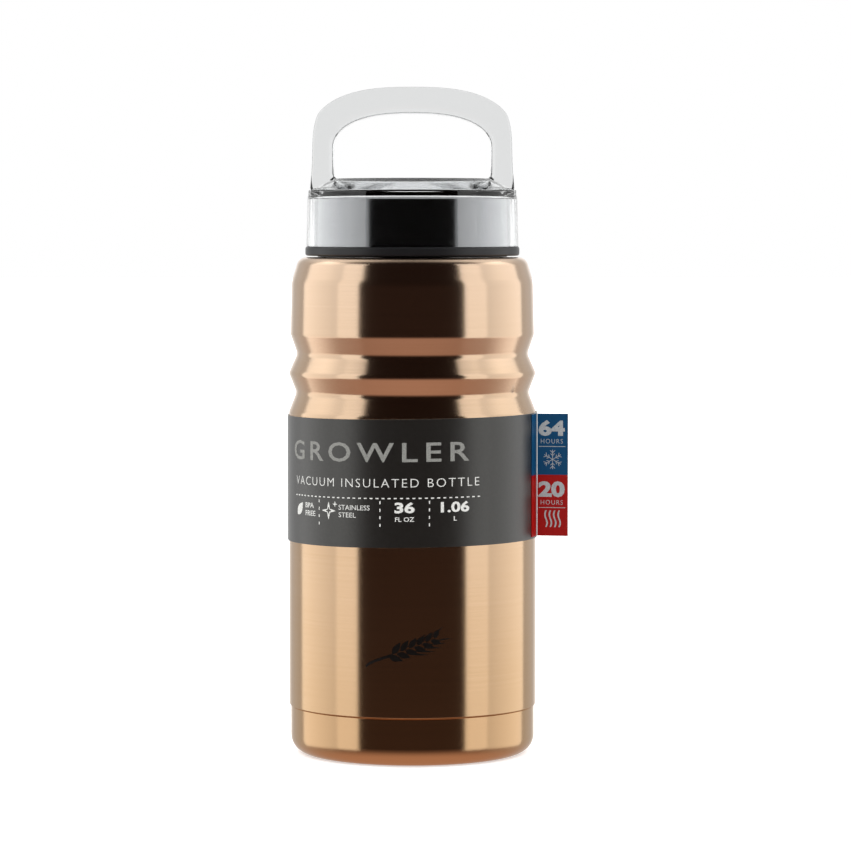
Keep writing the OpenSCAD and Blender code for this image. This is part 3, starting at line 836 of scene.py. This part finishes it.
def card_slab(name, place, width, height, thickness, columns, pale_end=True):
    """A slab of card bent by place(u, lift, v), with UV in millimetres and cut edges marked."""
    bm = bmesh.new()
    uv = bm.loops.layers.uv.new("around")
    rows = 12
    grid = {}
    for side in (0, 1):
        for i in range(columns + 1):
            for j in range(rows + 1):
                u, v = width * i / columns, height * j / rows
                grid[side, i, j] = (bm.verts.new(place(u, side * thickness, v) * MM), u, v)

    def patch(keys, cut):
        face = bm.faces.new([grid[key][0] for key in keys])
        for loop, key in zip(face.loops, keys):
            _, u, v = grid[key]
            loop[uv].uv = (u, -1.0 if cut else v)

    for i in range(columns):
        for j in range(rows):
            for side in (0, 1):
                patch([(side, i, j), (side, i + 1, j), (side, i + 1, j + 1), (side, i, j + 1)], False)
        for j in (0, rows):
            patch([(0, i, j), (0, i + 1, j), (1, i + 1, j), (1, i, j)], True)
    for j in range(rows):
        for i in (0, columns):
            patch([(0, i, j), (0, i, j + 1), (1, i, j + 1), (1, i, j)], i > 0 and pale_end)
    return to_data(bm, name)


def on_tag(u, depth, v):
    """A point u out from the fold and v up the tag; depth is behind the front face."""
    return TAG_OUT * (FOLD_R + u) + TAG_BACK * (depth - LEAF_T) + Vector((0, 0, TAG_LOW + v))


def build_tag():
    """A margin glued on the sleeve, and two leaves back to back that stand out from its fold."""
    tall = TAG_HIGH - TAG_LOW

    def on_strip(u, lift, v):
        azimuth = math.pi / 2 - TAG_TURN - u / STRIP_R
        r = STRIP_R + lift
        return Vector((r * math.sin(azimuth), -r * math.cos(azimuth), TAG_LOW + v))

    data = card_slab("strip", on_strip, STRIP_W, tall, STRIP_T, 16, pale_end=False)
    piece("tag_margin", data, TAG_CARD, "sleeve", "tag_print", "tag_strip")

    data = card_slab("front", on_tag, TAG_W, tall, LEAF_T, 8)
    piece("tag_front_leaf", data, TAG_CARD, "tag", "tag_print", "tag_front")

    def behind(u, depth, v):
        return on_tag(u, depth + LEAF_T, v)

    data = card_slab("back", behind, TAG_W, tall, LEAF_T, 8)
    piece("tag_back_leaf", data, CARD_STOCK, "tag", "coated_card", "tag_back")


# ---------------------------------------------------------------- print

def lettering(words, width, height, weight=0.0, spacing=1.0):
    """Letters as a thin plate centred on the origin, fitted to a size in millimetres."""
    text = bpy.data.curves.new("letters", "FONT")
    text.body = words
    text.offset = weight
    text.space_character = spacing
    text.resolution_u = 3
    text.extrude = 0.01
    data = plain_mesh(hold(text))
    bpy.data.curves.remove(text)
    return fitted(data, width, height)


def fitted(data, width, height):
    """Centres a plate on the origin and scales it to a width, a height and the ink's thickness."""
    spots = [v.co for v in data.vertices]
    low = Vector([min(p[i] for p in spots) for i in range(3)])
    high = Vector([max(p[i] for p in spots) for i in range(3)])
    size = high - low
    scale = Matrix.Diagonal((width / size.x, height / size.y, INK * 1.5 / max(size.z, 1e-6), 1))
    data.transform(scale @ Matrix.Translation(-(low + high) / 2))
    return data


def plate(outer, inner=None):
    """A thin flat plate in millimetres inside one ring of points, or between two rings."""
    bm = bmesh.new()
    inner = inner or [Vector((0, 0))]
    layers = []
    for z in (-INK * 0.75, INK * 0.75):
        layers.append([[bm.verts.new((*p, z)) for p in ring] for ring in (outer, inner)])
    count = len(outer)
    for k in range(count):
        n = (k + 1) % count
        for rim, core in layers:
            face = [rim[k], rim[n], core[n % len(core)], core[k % len(core)]]
            bm.faces.new(face if len(core) > 1 else face[:3])
        bm.faces.new((layers[0][0][k], layers[0][0][n], layers[1][0][n], layers[1][0][k]))
        if len(inner) > 1:
            bm.faces.new((layers[0][1][k], layers[0][1][n], layers[1][1][n], layers[1][1][k]))
    return to_data(bm, "plate")


def moved(data, x, y, angle=0.0):
    """The plate turned about the origin and then moved."""
    data.transform(Matrix.Translation((x, y, 0)) @ Matrix.Rotation(angle, 4, "Z"))
    return data


def bar(length, width):
    """A straight bar of ink centred on the origin."""
    a, b = length / 2, width / 2
    return plate([Vector(p) for p in ((-a, -b), (a, -b), (a, b), (-a, b))])


def together(name, plates):
    """Several plates as one mesh."""
    bm = bmesh.new()
    for data in plates:
        bm.from_mesh(data)
        bpy.data.meshes.remove(data)
    whole = bpy.data.meshes.new(name)
    bm.to_mesh(whole)
    bm.free()
    return whole


def instancing_tree(name, inputs):
    """A node tree that takes an item and named inputs, and the node that gives them."""
    tree = bpy.data.node_groups.new(name, "GeometryNodeTree")
    tree.interface.new_socket("Item", in_out="INPUT", socket_type="NodeSocketGeometry")
    for label, kind in inputs.items():
        tree.interface.new_socket(label, in_out="INPUT", socket_type=kind)
    tree.interface.new_socket("Print", in_out="OUTPUT", socket_type="NodeSocketGeometry")
    return tree, put(tree, "NodeGroupInput")


def end_tree(tree, points, given, material, rotation=None, scale=None):
    """Instances the item on the points and ends in real geometry with its material set."""
    wiring = {"Points": points, "Instance": given.outputs["Item"]}
    if rotation is not None:
        wiring["Rotation"] = rotation
    if scale is not None:
        wiring["Scale"] = scale
    copies = put(tree, "GeometryNodeInstanceOnPoints", wiring)
    real = put(tree, "GeometryNodeRealizeInstances", {"Geometry": copies.outputs[0]})
    inked = put(tree, "GeometryNodeSetMaterial", {"Geometry": real.outputs[0], "Material": material})
    put(tree, "NodeGroupOutput", {"Print": inked.outputs[0]})
    return tree


def row_tree(material):
    """Copies of the item in a straight row."""
    tree, given = instancing_tree("ink_row", {
        "Count": "NodeSocketInt", "Offset": "NodeSocketVector", "Start": "NodeSocketVector"})
    line = put(tree, "GeometryNodeMeshLine", {
        "Count": given.outputs["Count"], "Offset": given.outputs["Offset"],
        "Start Location": given.outputs["Start"]})
    return end_tree(tree, line.outputs[0], given, material)


def ring_tree(material):
    """Copies of the item turned about the origin by even steps."""
    tree, given = instancing_tree("ink_ring", {"Count": "NodeSocketInt"})
    line = put(tree, "GeometryNodeMeshLine", {
        "Count": given.outputs["Count"], "Offset": (0.0, 0.0, 0.0)})
    number = put(tree, "GeometryNodeInputIndex")
    turn = put(tree, "ShaderNodeMath", {0: 2 * math.pi, 1: given.outputs["Count"]}, operation="DIVIDE")
    angle = put(tree, "ShaderNodeMath", {0: number.outputs[0], 1: turn.outputs[0]}, operation="MULTIPLY")
    spin = put(tree, "ShaderNodeCombineXYZ", {"Z": angle.outputs[0]})
    return end_tree(tree, line.outputs[0], given, material, spin.outputs[0])


def ear_tree(material):
    """Grains of barley on alternate sides of a bent stem, smaller towards the tip."""
    tree, given = instancing_tree("barley_ear", {
        "Grains": "NodeSocketInt", "Spread": "NodeSocketFloat", "Start": "NodeSocketVector",
        "Bend": "NodeSocketVector", "Tip": "NodeSocketVector"})
    stem = put(tree, "GeometryNodeCurveQuadraticBezier", {
        "Resolution": 48, "Start": given.outputs["Start"], "Middle": given.outputs["Bend"],
        "End": given.outputs["Tip"]})
    spots = put(tree, "GeometryNodeResampleCurve", {
        "Curve": stem.outputs[0], "Count": given.outputs["Grains"]})
    tangent = put(tree, "GeometryNodeInputTangent")
    heading = put(tree, "ShaderNodeSeparateXYZ", {"Vector": tangent.outputs[0]})
    forward = put(tree, "ShaderNodeMath", {0: heading.outputs[1], 1: heading.outputs[0]},
                  operation="ARCTAN2")
    number = put(tree, "GeometryNodeInputIndex").outputs[0]
    odd = put(tree, "ShaderNodeMath", {0: number, 1: 2.0}, operation="MODULO")
    side = put(tree, "ShaderNodeMath", {0: odd.outputs[0], 1: 2.0, 2: -1.0}, operation="MULTIPLY_ADD")
    lean = put(tree, "ShaderNodeMath", {
        0: side.outputs[0], 1: given.outputs["Spread"], 2: forward.outputs[0]}, operation="MULTIPLY_ADD")
    spin = put(tree, "ShaderNodeCombineXYZ", {"Z": lean.outputs[0]})
    share = put(tree, "ShaderNodeMath", {0: number, 1: given.outputs["Grains"]}, operation="DIVIDE")
    size = put(tree, "ShaderNodeMath", {0: share.outputs[0], 1: -0.35, 2: 1.0}, operation="MULTIPLY_ADD")
    return end_tree(tree, spots.outputs[0], given, material, spin.outputs[0], size.outputs[0])


def grown(item, tree, **values):
    """The item's mesh run through a node tree with the given inputs, as a plain mesh."""
    holder = hold(item)
    made = holder.modifiers.new(tree.name, "NODES")
    made.node_group = tree
    for socket in tree.interface.items_tree:
        if socket.in_out == "INPUT" and socket.name in values:
            made[socket.identifier] = values[socket.name]
    return plain_mesh(holder)


def lay(ink, data, place, cut_step=1.0):
    """Adds a flat plate to a print, cut fine enough to follow the surface that place bends it to."""
    bm = bmesh.new()
    bm.from_mesh(data)
    low = min(v.co.x for v in bm.verts)
    high = max(v.co.x for v in bm.verts)
    for k in range(1, math.ceil((high - low) / cut_step)):
        bmesh.ops.bisect_plane(bm, geom=bm.verts[:] + bm.edges[:] + bm.faces[:],
                               plane_co=(low + k * cut_step, 0, 0), plane_no=(1, 0, 0))
    for v in bm.verts:
        v.co = place(v.co.x, v.co.y, v.co.z + INK / 2) * MM
    bm.to_mesh(data)
    bm.free()
    ink.from_mesh(data)
    bpy.data.meshes.remove(data)


def round_the_sleeve(azimuth_deg, z):
    """Puts flat print on the sleeve, centred on an angle from the front, in line with its edges."""
    centre = math.radians(azimuth_deg)

    def place(x, y, lift):
        a = centre + x / SLEEVE_R
        r = SLEEVE_R + lift
        askew = SLEEVE_R * math.sin(a) * math.tan(SLEEVE_TILT)
        return Vector((r * math.sin(a), -r * math.cos(a), z + y + askew))

    return place


def arc_mm(start_deg, end_deg):
    """Length round the sleeve between two angles."""
    return math.radians(end_deg - start_deg) * SLEEVE_R


def ink_piece(name, ink, material, body, slot):
    """Turns what was laid into one piece."""
    data = bpy.data.meshes.new(name)
    ink.to_mesh(data)
    ink.free()
    piece(name, data, material, body, slot)


def leaf_outline(long, wide, steps=16):
    """A pointed leaf along x, from two bowed sides."""
    side = [Vector((long * (t - 0.5), wide / 2 * math.sin(math.pi * t ** 0.8)))
            for t in (k / steps for k in range(steps + 1))]
    return side + [Vector((p.x, -p.y)) for p in side[-2:0:-1]]


def star_outline(reach_mm, waist, points=4, steps=6):
    """A star with hollow sides."""
    ring = []
    total = points * 2 * steps
    for k in range(total):
        a = 2 * math.pi * k / total
        phase = (k % (2 * steps)) / steps
        share = abs(1 - phase)
        r = reach_mm * (waist + (1 - waist) * share ** 2.6)
        ring.append(Vector((r * math.sin(a), r * math.cos(a))))
    return ring


def build_sleeve_title():
    ink = bmesh.new()
    lay(ink, lettering("GROWLER", arc_mm(TITLE_LEFT, TITLE_RIGHT), 7.6, 0.012, 1.35),
        round_the_sleeve((TITLE_LEFT + TITLE_RIGHT) / 2, TITLE_Z))
    ink_piece("sleeve_title_print", ink, TITLE_INK, "sleeve", "coated_card")


def build_sleeve_lines():
    """The line under the title, a dotted rule, and four cells of facts between dotted posts."""
    small = bmesh.new()
    middle = (LINES_LEFT + LINES_RIGHT) / 2
    width = arc_mm(LINES_LEFT, LINES_RIGHT)
    lay(small, lettering("VACUUM INSULATED BOTTLE", width, 3.3, -0.012, 1.25),
        round_the_sleeve(middle, SUBLINE_Z))
    rows = row_tree(PALE_INK)
    dash, pitch, thick = 1.15, 2.4, 0.45
    count = int(width / pitch) + 1
    rule = grown(bar(dash, thick), rows, Count=count, Offset=(pitch, 0.0, 0.0),
                 Start=(-pitch * (count - 1) / 2, 0.0, 0.0))
    lay(small, rule, round_the_sleeve(middle, RULE_Z))
    for edge in CELL_EDGES:
        post = grown(bar(thick, dash), rows, Count=4, Offset=(0.0, -2.9, 0.0), Start=(0.0, 0.0, 0.0))
        lay(small, post, round_the_sleeve(edge, RULE_Z - 1.6))
    edges = (LINES_LEFT, *CELL_EDGES, LINES_RIGHT)
    at = [round_the_sleeve((a + b) / 2, CELL_Z) for a, b in zip(edges, edges[1:])]
    lay(small, moved(plate(leaf_outline(6.6, 3.6)), -4.9, 0, math.radians(48)), at[0])
    lay(small, moved(plate(star_outline(3.5, 0.3), star_outline(1.5, 0.45)), -8.8, 0), at[1])
    lay(small, moved(plate(star_outline(1.2, 0.3)), -5.6, 2.6), at[1])
    # Cell, words, width, height, weight, and place across and up from the cell's middle
    facts = ((0, "BPA", 5.6, 2.0, 0.012, 2.2, 1.6), (0, "FREE", 6.6, 2.0, 0.012, 2.7, -1.5),
             (1, "STAINLESS", 13.6, 1.9, 0.0, 3.0, 1.5), (1, "STEEL", 7.8, 1.9, 0.0, 0.1, -1.4),
             (2, "36", 7.8, 4.3, 0.035, 0, 1.6), (2, "FL OZ", 7.4, 1.75, 0.01, 0, -2.9),
             (3, "1.06", 11.7, 4.2, 0.03, 0, 1.6), (3, "L", 1.3, 1.75, 0.01, 0, -2.9))
    for cell, words, wide, tall, weight, x, y in facts:
        lay(small, moved(lettering(words, wide, tall, weight), x, y), at[cell])
    ink_piece("sleeve_small_print", small, PALE_INK, "sleeve", "coated_card")


def wave_outline(tall, swing, width, steps=20):
    """An upright wavy stroke."""
    spine = [Vector((swing * math.sin(2 * math.pi * k / steps), tall * (k / steps - 0.5)))
             for k in range(steps + 1)]
    half = Vector((width / 2, 0))
    return [p - half for p in spine] + [p + half for p in spine[::-1]]


def strip_plate(outline):
    """A thin plate from an outline of two facing sides with equally many points."""
    bm = bmesh.new()
    count = len(outline) // 2
    sides = [outline[:count], outline[:count - 1:-1]]
    grid = [[[bm.verts.new((*p, z)) for p in side] for side in sides]
            for z in (-INK * 0.75, INK * 0.75)]
    for k in range(count - 1):
        for layer in grid:
            bm.faces.new((layer[0][k], layer[1][k], layer[1][k + 1], layer[0][k + 1]))
        for s in (0, 1):
            bm.faces.new((grid[0][s][k], grid[0][s][k + 1], grid[1][s][k + 1], grid[1][s][k]))
    for k in (0, count - 1):
        bm.faces.new((grid[0][0][k], grid[0][1][k], grid[1][1][k], grid[1][0][k]))
    return to_data(bm, "strip")


def snow_arm():
    """One arm of the snowflake, with two pairs of twigs."""
    strokes = [moved(bar(3.8, 0.24), 0, 1.9, math.pi / 2)]
    for long, x, y in ((1.4, 0.49, 3.1), (1.2, 0.42, 1.9)):
        for side in (1, -1):
            lean = math.radians(90 - 45 * side)
            strokes.append(moved(bar(long, 0.22), side * x, y, lean))
    return together("arm", strokes)


def build_tag_print():
    """Cold above, hot below: figures, a rule and a sign in each half."""
    half = (TAG_HIGH - TAG_LOW) / 2
    middle = TAG_W / 2

    def at(v, u=middle):
        return lambda x, y, lift: on_tag(u + x, -lift, v + y)

    ink = bmesh.new()
    for base, figures in ((half, "64"), (0.0, "20")):
        lay(ink, lettering(figures, 10.5, 6.3, 0.045), at(base + 18.5, middle - 0.4), UNCUT)
        lay(ink, lettering("HOURS", 8.8, 1.8, -0.008, 1.2), at(base + 13.3, middle - 0.3), UNCUT)
        lay(ink, bar(10.6, 0.24), at(base + 11.2, middle - 0.2), UNCUT)
    flake = grown(snow_arm(), ring_tree(WHITE_INK), Count=6)
    lay(ink, flake, at(half + 6.1), UNCUT)
    wave = strip_plate(wave_outline(6.6, 0.42, 0.62))
    waves = grown(wave, row_tree(WHITE_INK), Count=4, Offset=(1.75, 0.0, 0.0), Start=(-2.6, 0.0, 0.0))
    lay(ink, waves, at(6.8), UNCUT)
    ink_piece("tag_figures_print", ink, WHITE_INK, "tag", "tag_print")


def stalk_outline():
    """The bent stalk under the ear, as two facing sides."""
    steps, half = 14, 0.6
    spine = [Vector((-17 + 11 * t, -7 + 5 * t ** 0.7)) for t in (k / steps for k in range(steps + 1))]
    up = Vector((0, half))
    return [p + up for p in spine] + [p - up for p in spine[::-1]]


def build_emblem():
    """A lying ear of barley, printed low on the front of the shell."""
    wide, low_z, high_z = 34.0, 38.7, 54.9
    centre_deg = -1.5
    tree = ear_tree(EMBLEM_INK)
    grain = moved(plate(leaf_outline(6.0, 2.6)), 3.2, 0)
    ear = grown(grain, tree, Grains=12, Spread=math.radians(38), Start=(-8.0, -2.4, 0.0),
                Bend=(2.0, 1.0, 0.0), Tip=(10.0, 4.8, 0.0))
    awn = moved(plate(leaf_outline(10.0, 0.8)), 8.4, 0)
    awns = grown(awn, tree, Grains=9, Spread=math.radians(19), Start=(-5.0, -1.2, 0.0),
                 Bend=(3.0, 1.0, 0.0), Tip=(8.0, 3.6, 0.0))
    whole = together("ear", (ear, awns, strip_plate(stalk_outline())))

    def place(x, y, lift):
        a = math.radians(centre_deg) + x / SHELL_R
        r = SHELL_R + lift
        return Vector((r * math.sin(a), -r * math.cos(a), (low_z + high_z) / 2 + y))

    ink = bmesh.new()
    lay(ink, fitted(whole, wide, high_z - low_z), place)
    ink_piece("barley_emblem_print", ink, EMBLEM_INK, "flask", "copper_shell")


# ---------------------------------------------------------------- room

def build_floor():
    """A wide pale floor that the bottle stands on."""
    bm = bmesh.new()
    bmesh.ops.create_circle(bm, cap_ends=True, segments=96, radius=12.0)
    data = bpy.data.meshes.new("floor")
    bm.to_mesh(data)
    bm.free()
    made, tree = new_material("pale_studio_floor")
    shader = put(tree, "ShaderNodeBsdfPrincipled", {
        "Base Color": srgb("#F4F4F4"), "Roughness": 0.9, "Emission Color": srgb("#FFFFFF"),
        "Emission Strength": 0.5})
    put(tree, "ShaderNodeOutputMaterial", {"Surface": shader.outputs[0]})
    data.materials.append(made)
    floor = hold(data, "floor")
    floor.visible_glossy = False
    floor.visible_transmission = False


def build_softbox(name, start_deg, end_deg, radiance):
    """An upright softbox between two directions, in degrees from the front towards the right."""
    distance, low, high = 1.5, -0.5, 1.5
    ends = [Vector((math.sin(math.radians(a)), -math.cos(math.radians(a)), 0)) * distance
            for a in (start_deg, end_deg)]
    centre = (ends[0] + ends[1]) / 2
    light = bpy.data.lights.new(name, "AREA")
    light.shape = "RECTANGLE"
    light.size = (ends[1] - ends[0]).length
    light.size_y = high - low
    light.energy = radiance * math.pi * light.size * light.size_y
    box = hold(light, name)
    box.rotation_mode = "QUATERNION"
    box.rotation_quaternion = (-centre).to_track_quat("-Z", "Y")
    box.location = centre + Vector((0, 0, (low + high) / 2))
    box.visible_camera = False
    box.visible_transmission = False


def build_ceiling_light(strength):
    """Even light from overhead that whitens the floor and leaves no mark in reflections."""
    light = bpy.data.lights.new("ceiling_light", "SUN")
    light.energy = strength
    light.angle = math.radians(120)
    overhead = hold(light, "ceiling_light")
    overhead.visible_glossy = False
    overhead.visible_transmission = False


def build_room():
    """White to the camera. To reflections it is a studio hung with dark cloth round the camera,
    with a grey back wall, a bright ceiling behind the bottle and a warm floor. Seen through the
    clear lid, the walls get steadily brighter from the cloth to the back."""
    world = bpy.data.worlds.new("studio")
    bpy.context.scene.world = world
    world.use_nodes = True
    tree = world.node_tree
    tree.nodes.clear()
    way = put(tree, "ShaderNodeTexCoord").outputs["Generated"]
    parts = put(tree, "ShaderNodeSeparateXYZ", {"Vector": way})
    front_to_back = put(tree, "ShaderNodeMapRange", {
        "Value": parts.outputs["Y"], "From Min": -0.35, "From Max": 0.75})
    level = put(tree, "ShaderNodeMapRange", {
        "Value": parts.outputs["Z"], "From Min": -0.10, "From Max": -0.90},
        interpolation_type="SMOOTHSTEP")
    up = put(tree, "ShaderNodeMapRange", {
        "Value": parts.outputs["Z"], "From Min": 0.35, "From Max": 0.65})
    behind = put(tree, "ShaderNodeMapRange", {
        "Value": parts.outputs["Y"], "From Min": -0.05, "From Max": 0.25})
    ceiling = put(tree, "ShaderNodeMath", {0: up.outputs[0], 1: behind.outputs[0]},
                  operation="MULTIPLY")
    wall = put(tree, "ShaderNodeMix", {
        0: front_to_back.outputs[0], 6: (0.012, 0.007, 0.006, 1.0), 7: (0.55, 0.55, 0.55, 1.0)},
        data_type="RGBA")
    lower = put(tree, "ShaderNodeMix", {
        0: level.outputs[0], 6: wall.outputs[2], 7: (0.54, 0.33, 0.26, 1.0)}, data_type="RGBA")
    seen = put(tree, "ShaderNodeMix", {
        0: ceiling.outputs[0], 6: lower.outputs[2], 7: (0.9, 0.9, 0.9, 1.0)}, data_type="RGBA")
    backdrop = put(tree, "ShaderNodeMapRange", {
        "Value": parts.outputs["Y"], "From Min": 0.90, "From Max": 0.99})
    room = put(tree, "ShaderNodeMix", {
        0: backdrop.outputs[0], 6: seen.outputs[2], 7: (1.0, 1.0, 1.0, 1.0)}, data_type="RGBA")
    cloth_edge = put(tree, "ShaderNodeMapRange", {
        "Value": parts.outputs["Y"], "From Min": -0.66, "From Max": -0.60})
    brighter = put(tree, "ShaderNodeMapRange", {
        "Value": parts.outputs["Y"], "From Min": -0.60, "From Max": 0.60, "To Min": 0.60, "To Max": 1.5})
    steep = put(tree, "ShaderNodeMath", {0: parts.outputs["Z"]}, operation="ABSOLUTE")
    past_cloth = put(tree, "ShaderNodeMapRange", {
        "Value": steep.outputs[0], "From Min": 0.22, "From Max": 0.40})
    open_room = put(tree, "ShaderNodeMath", {
        0: cloth_edge.outputs[0], 1: past_cloth.outputs[0]}, operation="MAXIMUM")
    through_lid = put(tree, "ShaderNodeMath", {
        0: open_room.outputs[0], 1: brighter.outputs[0]}, operation="MULTIPLY")
    ray = put(tree, "ShaderNodeLightPath")
    lid_or_room = put(tree, "ShaderNodeMix", {
        0: ray.outputs["Is Transmission Ray"], 6: room.outputs[2], 7: through_lid.outputs[0]},
        data_type="RGBA")
    unreflected = put(tree, "ShaderNodeMath", {0: ray.outputs["Glossy Depth"], 1: 0.5},
                      operation="LESS_THAN")
    through = put(tree, "ShaderNodeMath", {
        0: ray.outputs["Is Transmission Ray"], 1: unreflected.outputs[0]}, operation="MULTIPLY")
    straight = put(tree, "ShaderNodeMath", {
        0: ray.outputs["Is Camera Ray"], 1: through.outputs[0]}, operation="MAXIMUM")
    dim = put(tree, "ShaderNodeBackground", {"Color": lid_or_room.outputs[2], "Strength": 1.0})
    white = put(tree, "ShaderNodeBackground", {"Color": (1, 1, 1, 1), "Strength": 1.0})
    both = put(tree, "ShaderNodeMixShader", {
        0: straight.outputs[0], 1: dim.outputs[0], 2: white.outputs[0]})
    put(tree, "ShaderNodeOutputWorld", {"Surface": both.outputs[0]})
    bpy.context.scene.view_settings.view_transform = "Standard"


def build_camera():
    """A long lens a metre and a half away, above the middle of the bottle and tilted down to it."""
    tilt_deg = 3.18
    camera = bpy.data.cameras.new("camera")
    camera.lens = 156.5
    camera.sensor_width = 36
    camera.clip_end = 60
    made = hold(camera, "camera")
    made.location = (0.0052, -1.468, 0.2115)
    made.rotation_euler = (math.radians(90 - tilt_deg), 0, 0)
    bpy.context.scene.camera = made


def dress_cad_nodes():
    """Finishes for the CAD nodes that stay: the sealed inner pieces."""
    finishes = {"outer_bottom": STEEL, "seal_bead": GLASS_BEAD, "getter": GETTER, "getter_clip": STEEL,
                "radiation_foil": FOIL, "lid_foam": FOAM, "plug_foam": FOAM}
    for node, material in finishes.items():
        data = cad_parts[node].data
        data.materials.clear()
        data.materials.append(material)


build_camera()
build_room()
build_floor()
build_softbox("left_softbox", -51, -74, 1.06)
build_softbox("left_back_softbox", -74, -124, 0.77)
build_softbox("right_softbox", 50, 74, 1.06)
build_softbox("right_back_softbox", 74, 125, 0.74)
build_ceiling_light(3.4)
build_shell()
build_base_cup()
build_pad()
build_neck()
build_flask()
build_gasket()
build_trim()
build_liner()
build_plug()
build_clear_lid()
build_sleeve()
build_tag()
build_sleeve_title()
build_sleeve_lines()
build_tag_print()
build_emblem()
dress_cad_nodes()
